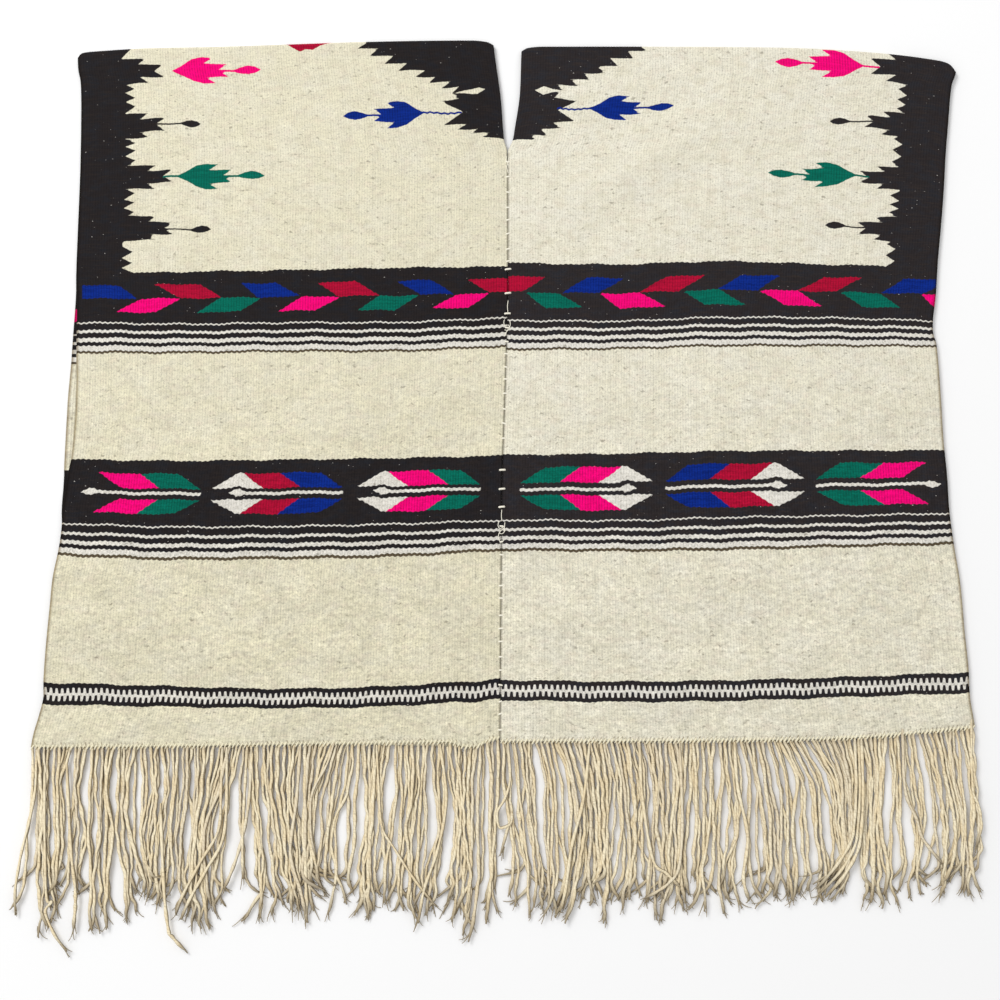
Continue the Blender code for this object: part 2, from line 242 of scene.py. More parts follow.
# The red bud that lies over the shoulder fold, and the cream ones by the neck: (rib, weft)
FOLD_BUD = {
    LEFT: (
        (320, -4), (304, 7), (291, 14.5), (283, 11), (272, 12.5), (261, 6.5), (243, 1.5), (238, -9),
        (320, -12),
    ),
    RIGHT: (),
}
NECK_BUDS = {
    LEFT: ((70, 82.6), (56, 80.6), (42, 78), (30, 74.4), (21, 76.4), (33, 83.5), (42, 84), (56, 82.8)),
    RIGHT: ((67, 73.3), (47, 71.7), (33, 65.8), (21, 71.5), (33, 78.5), (47, 75.2)),
}

# The slanting leaves of the first band: each lies in one of two rows, and has a tip and a
# corner at its end by the seam, then a corner and a tip at its end by the selvedge:
# (row, yarn, inner tip, inner corner, outer corner, outer tip)
UPPER, LOWER = (357.2, 377.6), (378.6, 398.8)
LEAVES = {
    LEFT: (
        (UPPER, "red", -40, -40, 24.7, 57), (UPPER, "blue", 77.4, 111, 125.4, 159),
        (UPPER, "red", 185.8, 221.5, 245.4, 275), (UPPER, "blue", 302, 336.6, 362, 386.5),
        (UPPER, "red", 416.7, 446, 475, 513), (UPPER, "blue", 539, 564, 618, 618),
        (LOWER, "pink", 25.5, 57, 72.7, 107.5), (LOWER, "green", 128, 164, 186, 216),
        (LOWER, "pink", 243, 279, 295.2, 332), (LOWER, "green", 358.6, 387.4, 416.7, 451),
        (LOWER, "pink", 474.8, 511, 533, 568),
    ),
    RIGHT: (
        (UPPER, "red", -40, -40, 19.8, 52), (UPPER, "blue", 79, 115.3, 131.2, 166.8),
        (UPPER, "red", 191.6, 233, 248, 286.3), (UPPER, "blue", 306.5, 341.3, 364, 395.5),
        (UPPER, "red", 423.3, 461, 478, 516), (UPPER, "blue", 546, 577, 605, 650),
        (LOWER, "green", 24.3, 54.8, 72.8, 107.8), (LOWER, "pink", 133, 164.7, 191.6, 230),
        (LOWER, "green", 255.3, 288.6, 308.3, 347.8), (LOWER, "pink", 366.5, 404.7, 423.3, 459.5),
        (LOWER, "green", 484.6, 519, 542.4, 575.5), (LOWER, "pink", 604, 629, 660, 690),
    ),
}
SELVEDGE_LEAF = (LOWER, "pink", 590, 622, 650, 690)  # on the left panel's back only

# The arrows of the second band. "inner" and "outer" are the ribs of the tail, of the joint of
# the two yarns and of the front, on the edges nearer to the shaft and further from it:
# (yarns, inner, outer, head, bud)
ARROW_ROWS = {LEFT: ((652.2, 631.9), (668.4, 687.9)), RIGHT: ((652.4, 631.2), (670.6, 691.0))}
SHAFT_WEFT = {LEFT: 659.4, RIGHT: 662.2}
SHAFT_HALF, SHAFT_IN, TAIL_OUT = 1.8, 10, 1
BUD_HALF, BUD_LENGTH, BUD_SHOULDER = 4.3, 27.0, 3
HEAD_APEX, HEAD_BOW, BOW_HALF = 7.0, 2.2, 11
ARROWS = {
    LEFT: (
        (("green", "pink"), (30.4, 75.6, 133.5), (59, 106, 163.5), 206, 183.5),
        (("blue", "red"), (228, 289, 341.5), (261, 318.5, 372), 415, 391),
        (("green", "pink"), (432, 492, 545.5), (467, 520, 582), None, 603.3),
    ),
    RIGHT: (
        (("green", "pink"), (24.8, 80, 134.3), (59.5, 108.6, 166.5), 210, 188),
        (("blue", "red"), (229.3, 291.3, 348.6), (261.5, 319, 380.5), 424, 400),
        (("green", "pink"), (441.3, 502.3, 562.5), (476, 536.5, 597.5), None, 616.5),
    ),
}

YARNS = ("dark", "pink", "red", "blue", "green")
FAR_OUT = 9.0  # depths are kept no further from an edge than this
SWELL = 0.3  # dyed shapes, and white ones in the dark, reach this far past their outlines
# Each piece of cloth has wool of its own, by the sum of these two
PANEL_SEED, LAYER_SEED = {LEFT: 0.0, RIGHT: 3.0}, {FRONT: 0.0, BACK: 1.4}

# ---------------------------------------------------------------- the fringe
STRANDS = {FRONT: 88, BACK: 66}  # in each panel's hem
STRAND_HALF_WIDE, STRAND_HALF_HIGH = 2.3, 1.7
STRAND_SIDES, STRAND_RINGS = 8, 60
# How guide strands hang, from left to right: (the root's place across, how far the strand lies
# aside from there at three depths below the hem and at its tip, the depth of the tip)
GUIDE_DEPTHS = (60, 120, 180)
GUIDES = {
    LEFT: (
        (-641, 1, -1, -6, -9, 236), (-628, 5, 7, 10, 15, 258), (-617, -2, -1, 6, 11, 244),
        (-607, 0, 5, 2, -3, 191), (-597, -6, -2, -5, -6, 216), (-588, -11, -7, -12, -14, 216),
        (-582, 0, -3, -7, -12, 215), (-570, -7, 2, -4, -3, 210), (-560, -2, 1, 5, 6, 258),
        (-551, 1, 5, 2, 3, 251), (-537, -5, 1, 3, 6, 238), (-529, -7, 2, 1, 7, 247),
        (-517, -2, 3, 12, 13, 247), (-504, -7, 4, 17, 19, 208), (-488, 6, 0, 9, 11, 207),
        (-474, 3, -2, 2, 7, 215), (-463, 6, 0, -1, 6, 218), (-441, -2, -4, -6, -5, 217),
        (-432, 0, -6, -6, -6, 216), (-422, 0, 2, -1, 7, 228), (-410, 0, -3, -8, 5, 246),
        (-396, -7, -14, -6, -5, 246), (-369, -13, -29, -30, -22, 237), (-357, -11, -22, -27, -23, 227),
        (-348, 8, 18, 26, 20, 235), (-338, 4, 12, 18, 20, 238), (-305, 1, 11, 17, 29, 230),
        (-295, 2, 9, 15, 22, 230), (-275, -9, 1, 3, 4, 228), (-265, -3, 0, 2, 12, 238),
        (-254, -5, -7, 2, 16, 214), (-229, -18, -25, -20, -13, 203), (-217, -13, -20, -22, -15, 222),
        (-205, -7, -18, -16, -6, 231), (-194, -4, -6, -2, -2, 237), (-188, 3, 6, -2, -4, 239),
        (-178, -1, 0, -2, -6, 232), (-166, -7, -9, -11, -11, 239), (-148, -10, -9, -16, -15, 230),
        (-141, 1, -9, -12, -17, 217), (-135, -1, 2, -5, -9, 223), (-123, 4, -3, -5, -11, 251),
        (-109, 0, -8, -11, -18, 238), (-102, -5, -7, -8, -7, 246), (-90, 1, 6, -6, -2, 240),
        (-81, -1, 1, -6, -3, 231), (-66, 8, 8, 6, 5, 241), (-53, 0, 1, 1, -5, 239),
        (-41, -4, 0, 0, -5, 258), (-30, -5, -7, -11, -12, 258), (-21, 3, 6, 7, 4, 251),
        (-11, 1, 1, -1, -4, 249),
    ),
    RIGHT: (
        (0, 0, -4, -2, -2, 227), (2, 2, 10, 15, 10, 222), (12, 6, 10, 17, 13, 226),
        (20, 8, 13, 15, 18, 248), (29, 10, 15, 23, 25, 233), (39, 6, 9, 19, 19, 233),
        (53, 15, 15, 13, 12, 233), (61, 15, 13, 20, 10, 241), (68, 18, 17, 24, 11, 235),
        (82, 16, 23, 18, 10, 243), (90, 17, 24, 17, 8, 243), (100, 17, 22, 15, 6, 237),
        (109, 12, 17, 14, 6, 228), (117, 12, 17, 16, 8, 230), (127, 13, 12, 8, 8, 228),
        (137, 7, 5, 8, 5, 242), (149, 11, 6, -2, -1, 221), (156, 13, 18, 17, 7, 238),
        (164, 15, 16, 13, 3, 238), (176, 11, 8, 5, 3, 225), (187, 10, 2, 4, 1, 221),
        (195, 15, 12, 13, 5, 248), (207, 7, 8, 11, 2, 231), (215, 5, 4, 9, 0, 233),
        (225, 1, 4, 4, -4, 237), (235, 6, 1, -2, -6, 226), (244, 3, -4, -5, 0, 235),
        (254, -3, -9, -9, -4, 226), (266, 1, 1, -8, -8, 220), (274, -2, 1, -2, -3, 232),
        (283, 3, 0, -5, -6, 226), (293, -3, -2, -6, -8, 219), (303, 4, -5, -6, -7, 234),
        (313, 6, 5, -5, -5, 224), (323, 6, 2, -7, -10, 228), (326, 9, 8, 10, 10, 231),
        (340, 12, 11, 11, 10, 218), (349, 7, 14, 17, 10, 226), (356, 9, 15, 20, 13, 230),
        (368, 13, 18, 16, 14, 236), (375, 17, 20, 16, 15, 236), (383, 21, 20, 20, 17, 223),
        (393, 27, 34, 36, 26, 227), (401, 29, 34, 38, 26, 234), (420, 33, 39, 42, 32, 218),
        (432, 28, 30, 32, 24, 218), (448, 22, 25, 22, 14, 219), (463, 16, 14, 4, -15, 215),
        (475, 8, 4, -14, -30, 215), (485, 11, 8, 5, 5, 228), (491, 14, 11, 5, 8, 225),
        (502, 8, 4, -1, 4, 225), (518, -2, -5, -10, -6, 223), (526, -6, -8, -6, -3, 235),
        (535, 2, -2, -8, -5, 237), (543, 2, -4, -6, -7, 233), (549, 3, 15, 13, 12, 224),
        (567, 9, 10, 2, -2, 226), (575, 13, 18, 13, 6, 226), (584, 10, 19, 16, 12, 226),
        (596, 10, 19, 15, 4, 229), (608, 9, 16, 11, 7, 227), (620, 5, 12, 7, 5, 229),
        (632, 5, 9, 3, 0, 235), (651, -1, 1, -1, -6, 214),
    ),
}
BUNCHING = 2.2  # how firmly a strand keeps to its nearer guide
KEPT = (1.0, 0.8, 0.55, 0.4, 0.35)  # how much of the strands' spacing is left at each depth
SPREAD = {FRONT: (0.0, 1.4, 2.2, 3.2, 5.5), BACK: (0.0, 2.5, 4.0, 5.5, 9.0)}
SHORTEST = 188.0

# Strands that stray over the others: places from the root on, as (across, down from the hem)
STRAYS = (
    ((-634, 6), (-633, 49), (-637, 89), (-645, 126), (-650, 155), (-654, 188), (-653, 223)),
    ((-340, 2), (-341, 62), (-345, 102), (-354, 142), (-364, 171), (-373, 192)),
    ((-346, 2), (-348, 76), (-349, 133), (-347, 178)),
    ((-227, -2), (-237, 29), (-256, 68), (-257, 116), (-250, 149)),
    ((-169, 2), (-165, 62), (-160, 112), (-142, 142), (-115, 182), (-86, 217)),
    ((11, 2), (14, 49), (7, 76), (-4, 96), (0, 116), (14, 110), (16, 96), (7, 129), (0, 153)),
    ((191, 2), (194, 76), (207, 158), (225, 176), (244, 195)),
    ((246, 2), (248, 102), (242, 168), (228, 189), (213, 200), (196, 209)),
    ((486, 2), (486, 62), (481, 116), (476, 139), (458, 168), (428, 202)),
    ((491, 2), (491, 62), (486, 118), (481, 145), (463, 176), (432, 209)),
    ((495, 2), (495, 69), (490, 126), (484, 153), (466, 184), (439, 214)),
    ((647, -11), (644, 49), (644, 85), (651, 106), (654, 130), (646, 159)),
    ((552, -5), (551, 52), (554, 88), (566, 116), (571, 137), (584, 157), (599, 175)),
    ((-622, 22), (-617, 129), (-611, 199), (-604, 205), (-612, 218), (-599, 247), (-581, 270)),
    ((-592, 22), (-582, 129), (-573, 188), (-572, 214), (-574, 244)),
    ((-462, 76), (-454, 182), (-446, 240), (-439, 253), (-422, 270)),
    ((-380, 2), (-380, 62), (-382, 113), (-405, 155), (-426, 195), (-437, 223)),
    ((-374, 2), (-372, 76), (-376, 126), (-397, 166), (-417, 202), (-430, 231)),
    ((-273, 2), (-277, 76), (-284, 142), (-269, 195), (-261, 227)),
    ((-82, 2), (-73, 76), (-84, 142), (-102, 195), (-110, 240)),
    ((123, 2), (114, 76), (97, 142), (89, 195), (81, 227)),
    ((321, 2), (324, 62), (336, 129), (329, 182), (336, 214)),
)

# Sewing
STITCH_PITCH, STITCH_HALF, BAR_HALF = 20.5, 3.2, 4.9
SEAM_OPEN = 0.06  # each front selvedge is rounded back this far more than the solids
BAR_STITCHES = (341.6, 377, 407, 633.5, 660.5, 686)  # how far down the heavy bars cross the seam
SEAM_BARE = ((332, 414), (606, 700))  # only bars and loose thread cross the seam here
# Loose thread along the seam, as (aside, down)
SEAM_LOOPS = (
    ((0.4, 388), (-0.3, 397), (0.5, 405)), ((0.2, 690), (-0.4, 698), (0.4, 706)),
    ((-4.2, 416), (-5, 420), (-3.4, 425), (1.5, 424), (3.6, 428), (0.6, 432), (-3.5, 431)),
    ((3.5, 417), (4.4, 423), (2.6, 430), (-0.8, 434), (-2.6, 440)),
    ((-3.8, 706), (-5, 712), (-2.2, 717), (3, 714), (5, 719), (1, 724), (-4, 723)),
    ((4.6, 708), (3.6, 716), (-1.5, 720), (-4.6, 728), (-1, 736), (3.4, 733)),
    ((-1.6, 172), (-2.4, 178), (0.6, 184), (1.8, 190)), ((1.6, 174), (0.4, 182), (-1.5, 188), (0.6, 198)),
)
HEM_PITCH, LOOP_RADIUS, LOOP_SIDES = 5.4, 1.15, 6

# ---------------------------------------------------------------- the view
CAMERA_DISTANCE = 1.95
CAMERA_ELEVATION = math.radians(82.0)
CAMERA_LENS = 50.0
AIM_ACROSS, AIM_DOWN, AIM_HEIGHT = 0.0, 676.0, 5.0
WINDOW_PLACE, WINDOW_SIZE, WINDOW_POWER = (-3.4, 3.4, 4.4), 2.6, 225  # metres and watts
ROOM_LIGHT = 0.70
FLOOR_HALF = 12.0  # metres


def srgb(red, green, blue):
    """A screen colour, 0 to 255, as the linear values that shaders use."""
    values = []
    for part in (red, green, blue):
        part /= 255
        values.append(part / 12.92 if part <= 0.04045 else ((part + 0.055) / 1.055) ** 2.4)
    return (*values, 1.0)


# ================================================================ curves and places


def on_curve(places, values, at):
    """Values given at some places, read at others on a smooth curve."""
    places, values = np.array(places, float), np.array(values, float)
    at = np.clip(np.asarray(at, float), places[0], places[-1])
    high = np.clip(np.searchsorted(places, at, side="right"), 1, len(places) - 1)
    low = high - 1
    before, after = np.maximum(low - 1, 0), np.minimum(high + 1, len(places) - 1)
    span = places[high] - places[low]
    share = (at - places[low]) / span
    rise = values[high] - values[low]
    slope_low = span * (values[high] - values[before]) / (places[high] - places[before])
    slope_high = span * (values[after] - values[low]) / (places[after] - places[low])
    slope_low = np.where(slope_low * rise <= 0, 0.0, slope_low)
    slope_high = np.where(slope_high * rise <= 0, 0.0, slope_high)
    square, cube = share**2, share**3
    return (
        (2 * cube - 3 * square + 1) * values[low]
        + (cube - 2 * square + share) * slope_low
        + (3 * square - 2 * cube) * values[high]
        + (cube - square) * slope_high
    )


def side_curve(table, side, at):
    """A table's column for one side, at each place along its first column."""
    column = 1 + SIDES.index(side)
    return on_curve([row[0] for row in table], [row[column] for row in table], at)


def path_curve(points, rings):
    """Coordinates of points, one array for each, at rings spread evenly over their path."""
    steps = np.linspace(0, 1, len(points))
    return [on_curve(steps, values, np.linspace(0, 1, rings)) for values in zip(*points)]


def outer_edge(side, layer, down):
    """Where a panel's selvedge runs, across, at each place down the cloth."""
    edge = on_curve(*zip(*EDGES[side]), down)
    if layer == BACK:
        edge = edge + OUTWARD[side] * side_curve(BACK_EDGE, side, down)
    return edge


def inner_edge(side, layer, down):
    """Where a panel's slit and seam edge runs, across, at each place down the cloth."""
    edge = side_curve(INNER, side, down) + OUTWARD[side] * SEAM_GAP / 2
    if layer == BACK:
        in_slit = (down > 0) & (down < SLIT_END)
        ease = BACK_SLIT_EASE * np.sin(np.pi * down / SLIT_END)
        edge = edge + OUTWARD[side] * np.where(in_slit, ease, 0.0)
    return edge


def hem_line(side, layer, share):
    """How far down the hem lies, at each share of the panel's width from the seam."""
    hem = side_curve(HEM_LINE, side, share)
    if layer == BACK:
        hem = hem - side_curve(BACK_HEM_SHORT, side, share)
    return hem


def hem_ends(side, layer):
    """Where a hem starts at the seam and ends at the selvedge, across."""
    inner = float(inner_edge(side, layer, hem_line(side, layer, 0.0)))
    return inner, float(outer_edge(side, layer, hem_line(side, layer, 1.0)))


def crease_height(creases, across, down):
    """The sum of ridges and troughs at each place."""
    height = np.zeros(np.shape(across))
    for middle, depth, length, width, rise, turn in creases:
        angle = math.radians(turn)
        along = (across - middle) * math.cos(angle) - (down - depth) * math.sin(angle)
        aside = (across - middle) * math.sin(angle) + (down - depth) * math.cos(angle)
        height += rise * np.exp(-((2 * along / length) ** 2) - (2 * aside / width) ** 2)
    return height


def front_underside(across, down, fold):
    """Height of the front layer's underside, which rises to the roll at the shoulder fold."""
    height = LAYER_LIFT + crease_height(SOFT_FOLDS, across, down)
    height = height + crease_height(FINE_CREASES, across, down)
    flat = CLOTH_THICK + LAYER_GAP + np.maximum(height, 0.0)
    rolled = FOLD_HEIGHT - CLOTH_THICK
    return flat + (rolled - flat) * np.exp(-(((down - fold) / FOLD_REACH) ** 2))


# The frame's own place: the lower left corner of the left panel's box
CORNER_ACROSS, CORNER_DOWN = -640.7488, 1018.0
LEFT_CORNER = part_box("left_panel")[0]
SHIFT_X = LEFT_CORNER.x - MM * CORNER_ACROSS
SHIFT_Y = LEFT_CORNER.y + MM * CORNER_DOWN


def placed(across, down, height):
    """Points of the garment in metres, in the frame: down the cloth is -Y."""
    across, down, height = np.broadcast_arrays(across, down, height)
    return np.stack((across * MM + SHIFT_X, SHIFT_Y - down * MM, height * MM), axis=-1)


# ================================================================ the chart


def polygon_depth(points, rib, weft):
    """How deep each place lies in a polygon, in millimetres, and below zero outside it."""
    nearest = np.full(rib.shape, 1e6)
    inside = np.zeros(rib.shape, bool)
    for (rib_a, weft_a), (rib_b, weft_b) in zip(points, points[1:] + points[:1]):
        run, fall = rib_b - rib_a, weft_b - weft_a
        share = ((rib - rib_a) * run + (weft - weft_a) * fall) / (run * run + fall * fall + 1e-9)
        share = np.clip(share, 0.0, 1.0)
        nearest = np.minimum(nearest, np.hypot(rib - rib_a - share * run, weft - weft_a - share * fall))
        if fall:
            crossed = rib < rib_a + (weft - weft_a) * run / fall
            inside ^= ((weft_a > weft) != (weft_b > weft)) & crossed
    return np.where(inside, nearest, -nearest)


class Chart:
    """How deep each place of the weave lies in each yarn's shapes."""

    def __init__(self, rib, weft):
        self.rib, self.weft = rib, weft
        self.depth = {yarn: np.full(rib.shape, -FAR_OUT) for yarn in YARNS}

    def _inside(self, points):
        """Which places lie near a shape, and how deep they lie in it."""
        ribs, wefts = zip(*points)
        near = (self.rib > min(ribs) - FAR_OUT) & (self.rib < max(ribs) + FAR_OUT)
        near &= (self.weft > min(wefts) - FAR_OUT) & (self.weft < max(wefts) + FAR_OUT)
        depth = polygon_depth(list(points), self.rib[near], self.weft[near])
        return near, np.clip(depth, -FAR_OUT, FAR_OUT)

    def paint(self, yarn, points):
        """Weave a shape, given by its corners, in a yarn."""
        near, inside = self._inside(points)
        self.depth[yarn][near] = np.maximum(self.depth[yarn][near], inside)

    def spare(self, points):
        """Leave a shape cream within the dark wool."""
        near, inside = self._inside(points)
        self.depth["dark"][near] = np.minimum(self.depth["dark"][near], -inside - SWELL)

    def bar_depth(self, bars):
        """How deep each place lies in bars that run from selvedge to selvedge."""
        inside = [np.minimum(self.weft - top, bottom - self.weft) for top, bottom in bars]
        return np.clip(np.max(inside, axis=0), -FAR_OUT, FAR_OUT)


class Corners:
    """Stands in for a chart, to collect the wefts where the shapes have corners."""

    def __init__(self):
        self.wefts = []

    def spare(self, points):
        self.wefts.extend(weft for _, weft in points)

    def paint(self, yarn, points):
        self.spare(points)


def stem(start, end, waves=0, height=0.0):
    """A narrow stem between two places of the weave, straight or waving."""
    steps = max(2 * waves, 1)
    upper, lower = [], []
    for step in range(steps + 1):
        share = step / steps
        sway = height * (-1) ** step if 0 < step < steps else 0.0
        rib = start[0] + (end[0] - start[0]) * share
        weft = start[1] + (end[1] - start[1]) * share + sway
        upper.append((rib, weft - STEM_HALF))
        lower.append((rib, weft + STEM_HALF))
    return upper + lower[::-1]


def mirrored(half):
    """A closed outline from its half: the same points on both sides of its axis."""
    return list(half) + [(along, -aside) for along, aside in reversed(half)]


def turned(outline, tip, bud, spread):
    """A flower's outline, laid from its tip to its bud."""
    run, drop = bud[0] - tip[0], bud[1] - tip[1]
    return [
        (
            tip[0] + run * along / FLOWER_LENGTH,
            tip[1] + drop * along / FLOWER_LENGTH + aside * spread,
        )
        for along, aside in outline
    ]


def weave_flowers(chart, side):
    for yarn, tip_rib, tip_weft, bud_rib, bud_weft, spread, tail in FLOWERS[side]:
        tip, bud = (tip_rib, tip_weft), (bud_rib, bud_weft)
        for half in (FLOWER_BODY, FLOWER_BUD):
            chart.paint(yarn, turned(mirrored(half), tip, bud, spread))
        near, far = turned(FLOWER_STEM, tip, bud, spread)
        along = STEM_SHARES[0] * tip_weft + STEM_SHARES[1] * bud_weft
        chart.paint(yarn, stem((near[0], along), (far[0], along)))
        if tail:
            heading = math.copysign(1, tip_rib - bud_rib)
            end = (tip_rib + heading * tail, tip_weft)
            waves = TAIL_WAVES if tail > SHORT_TAIL else 0
            chart.paint(yarn, stem((tip_rib - heading * TAIL_ROOT, tip_weft), end, waves, TAIL_SWAY))
    if FOLD_BUD[side]:
        chart.paint("red", FOLD_BUD[side])


def weave_border(chart, side):
    """The dark border along the selvedge, with its stepped and saw-toothed edge."""
    foot, selvedge = BORDER_RIB[side], PANEL_WIDTH + PAST_SELVEDGE
    root = foot + ROOT_IN
    top, bottom = CENTRE_WEFT - PAST_END, BAND_1[0] + PAST_END
    chart.paint("dark", ((foot, top), (selvedge, top), (selvedge, bottom), (foot, bottom)))
    for wefts in BORDER_SAW[side]:
        for upper, tip, lower in zip(wefts[::2], wefts[1::2], wefts[2::2]):
            point = (foot - SAW_REACH[side], tip)
            chart.paint("dark", ((root, upper), (foot, upper), point, (foot, lower), (root, lower)))
    last, below = BORDER_SAW[side][-1][-1], BAND_1[0] + 1
    corner = (BORDER_CORNER[side], below)
    chart.paint("dark", ((root, last), (foot, last), corner, (root, below)))
    for weft, reach, height, bud, bud_weft in BORDER_STEPS[side]:
        notch = weft - STEP_NOTCH * height
        half = [(root, notch), (foot, notch)]
        half += [(foot - reach + short, weft - aside * height) for short, aside in STEP_BACK]
        chart.paint("dark", half + [(rib, 2 * weft - place) for rib, place in reversed(half[:-1])])
        if bud:
            start = (foot - reach + STEP_BACK[-1][0] + STEP_STEM[0], weft)
            chart.paint("dark", stem(start, (bud + STEP_STEM[1], bud_weft)))
            chart.paint("dark", [(bud + along, bud_weft + aside) for along, aside in BORDER_BUD])


def weave_neck(chart, side):
    """Half of the toothed dark diamond round the neck."""
    start, top = NECK_START[side], CENTRE_WEFT - PAST_END
    outline = [(-PAST_SEAM, top), (start[0] + ROOT_IN, top), start]
    for tip_rib, tip_weft, notch_rib, notch_weft in NECK_TEETH[side]:
        outline += [(tip_rib, tip_weft), (notch_rib, notch_weft)]
    outline.append((-PAST_SEAM, outline[-1][1]))
    chart.paint("dark", outline)
    chart.spare(NECK_BUDS[side])


def leaf(row, inner_tip, inner_corner, outer_corner, outer_tip):
    """The outline of a slanting leaf: its tip by the seam points to the middle of the band."""
    top, bottom = row
    if row is UPPER:
        return ((inner_corner, top), (outer_tip, top), (outer_corner, bottom), (inner_tip, bottom))
    return ((inner_tip, top), (outer_corner, top), (outer_tip, bottom), (inner_corner, bottom))


def weave_arrow(chart, side, yarns, inner, outer, head, bud):
    shaft = SHAFT_WEFT[side]
    heart = bud - BUD_LENGTH / 2
    for low, high in ARROW_ROWS[side]:
        for part, yarn in enumerate(yarns):
            tail_edge = ((inner[part], low), (outer[part], high))
            chart.paint(yarn, (*tail_edge, (outer[part + 1], high), (inner[part + 1], low)))
        if head:
            bow = low - math.copysign(HEAD_BOW, shaft - low)
            white = ((inner[-1], low), (outer[-1], high), (outer[-1] + HEAD_APEX, high), (head, low))
            bend = ((heart + BOW_HALF, low), (heart, bow), (heart - BOW_HALF, low))
            chart.spare((*white, *bend))
    above, below = shaft - SHAFT_HALF, shaft + SHAFT_HALF
    tail, end = inner[0] - TAIL_OUT, bud - SHAFT_IN
    chart.spare(((tail, above), (end, above), (end, below), (tail, below)))
    top, bottom = shaft - BUD_HALF, shaft + BUD_HALF
    front, back = heart + BUD_SHOULDER, heart - BUD_SHOULDER
    upper = ((bud, shaft), (front, top), (back, top))
    chart.spare((*upper, (bud - BUD_LENGTH, shaft), (back, bottom), (front, bottom)))


def shifted(bars, top):
    return [(top + start, top + end) for start, end in bars]


BARS = [BAND_1, BAND_2, *shifted(DARK_STRIPES_1, BAND_1[1]), *shifted(DARK_STRIPES_2, BAND_2[1])]
ZIP_EVEN, ZIP_ODD = shifted(ZIP_DARK_EVEN, ZIP_TOP), shifted(ZIP_DARK_ODD, ZIP_TOP)


def weave_shapes(chart, side, layer):
    """Every shape of a panel's layer."""
    weave_border(chart, side)
    weave_neck(chart, side)
    weave_flowers(chart, side)
    leaves = LEAVES[side]
    if layer == BACK and side == LEFT:
        leaves += (SELVEDGE_LEAF,)
    for row, yarn, *ribs in leaves:
        chart.paint(yarn, leaf(row, *ribs))
    for arrow in ARROWS[side]:
        weave_arrow(chart, side, *arrow)


def woven_chart(side, layer, rib, weft):
    """The whole chart of a panel's layer, read at each rib and weft."""
    chart = Chart(rib, np.abs(weft - CENTRE_WEFT) + CENTRE_WEFT)
    chart.depth["dark"] = np.maximum(chart.depth["dark"], chart.bar_depth(BARS))
    weave_shapes(chart, side, layer)
    return chart.depth | {"even": chart.bar_depth(ZIP_EVEN), "odd": chart.bar_depth(ZIP_ODD)}


# ================================================================ the cloth

ROLL_WEFT = math.pi * FOLD_HEIGHT / 4  # the wefts from the fold's crest to where the cloth lies flat
ROLL_ROWS = 9
END_ROWS = ((2.4, 1.0), (0.6, 0.85), (0.0, 0.4))  # (short of the hem, share of the thickness)
# Rows lie no closer than this at shapes, and no further apart than these steps, by weft
NEAREST = {FRONT: 1.1, BACK: 1.7}
TIP_INSET = 1.3  # the leaves' thin tips need a row this near to their edges
ROW_STEPS = (
    (BAND_1[0] - 0.1, 4.2), (BAND_1[1], 5.8), (BAND_2[0] - 0.1, 9.0), (BAND_2[1], 5.8), (2000.0, 9.0),
)
MIDDLE_ROW = 14  # edges nearer than this to each other get a row midway
EDGE_ROUND = CLOTH_THICK / 2
TURNS = np.radians((45.0, 90.0, 135.0))  # the columns round an edge of the wall
UNDER_SHARES = (1, 0.97, 0.9, 0.75, 0.5, 0.25, 0.08, 0)
# Where the columns lie in the UV map: the charted side, the hidden side and the two end caps
TOP_U, UNDER_U, RING_U = (0.01, 0.80), (0.81, 0.98), 0.988
CAP_U = ((0.9905, 0.9935), (0.9955, 0.9985))
LOW_V, HIGH_V = 0.005, 0.985
HEM_EASE, HEM_DIP_REACH, SEAM_EASE = 40, 45, 12  # how soon waves, dip and open seam fade out


def weft_rows(side, layer):
    """The wefts that get a row of vertices: at corners of shapes and edges of bars, with
    more between them where they lie far apart."""
    corners = Corners()
    weave_shapes(corners, side, layer)
    edges = sorted(edge for bar in BARS + ZIP_EVEN + ZIP_ODD for edge in bar)
    edges += [(low + high) / 2 for low, high in zip(edges, edges[1:]) if high - low < MIDDLE_ROW]
    shift = 0 if layer == FRONT else -2 * CENTRE_WEFT  # the back's pattern lies lower
    last = HEM_WEFT - END_ROWS[0][0]
    for top, bottom in (UPPER, LOWER, *(sorted(row) for row in ARROW_ROWS[side])):
        edges += [top + TIP_INSET, bottom - TIP_INSET]
    marks = [ROLL_WEFT, last, *(edge + shift for edge in edges)]
    for weft in sorted(corner + shift for corner in corners.wefts):
        if ROLL_WEFT < weft < last and min(abs(weft - mark) for mark in marks) > NEAREST[layer]:
            marks.append(weft)
    rows = []
    marks = sorted(marks)
    for low, high in zip(marks, marks[1:]):
        step = next(step for end, step in ROW_STEPS if low - shift < end)
        count = max(math.ceil((high - low) / step), 1)
        rows.extend(low + (high - low) * i / count for i in range(count))
    return rows


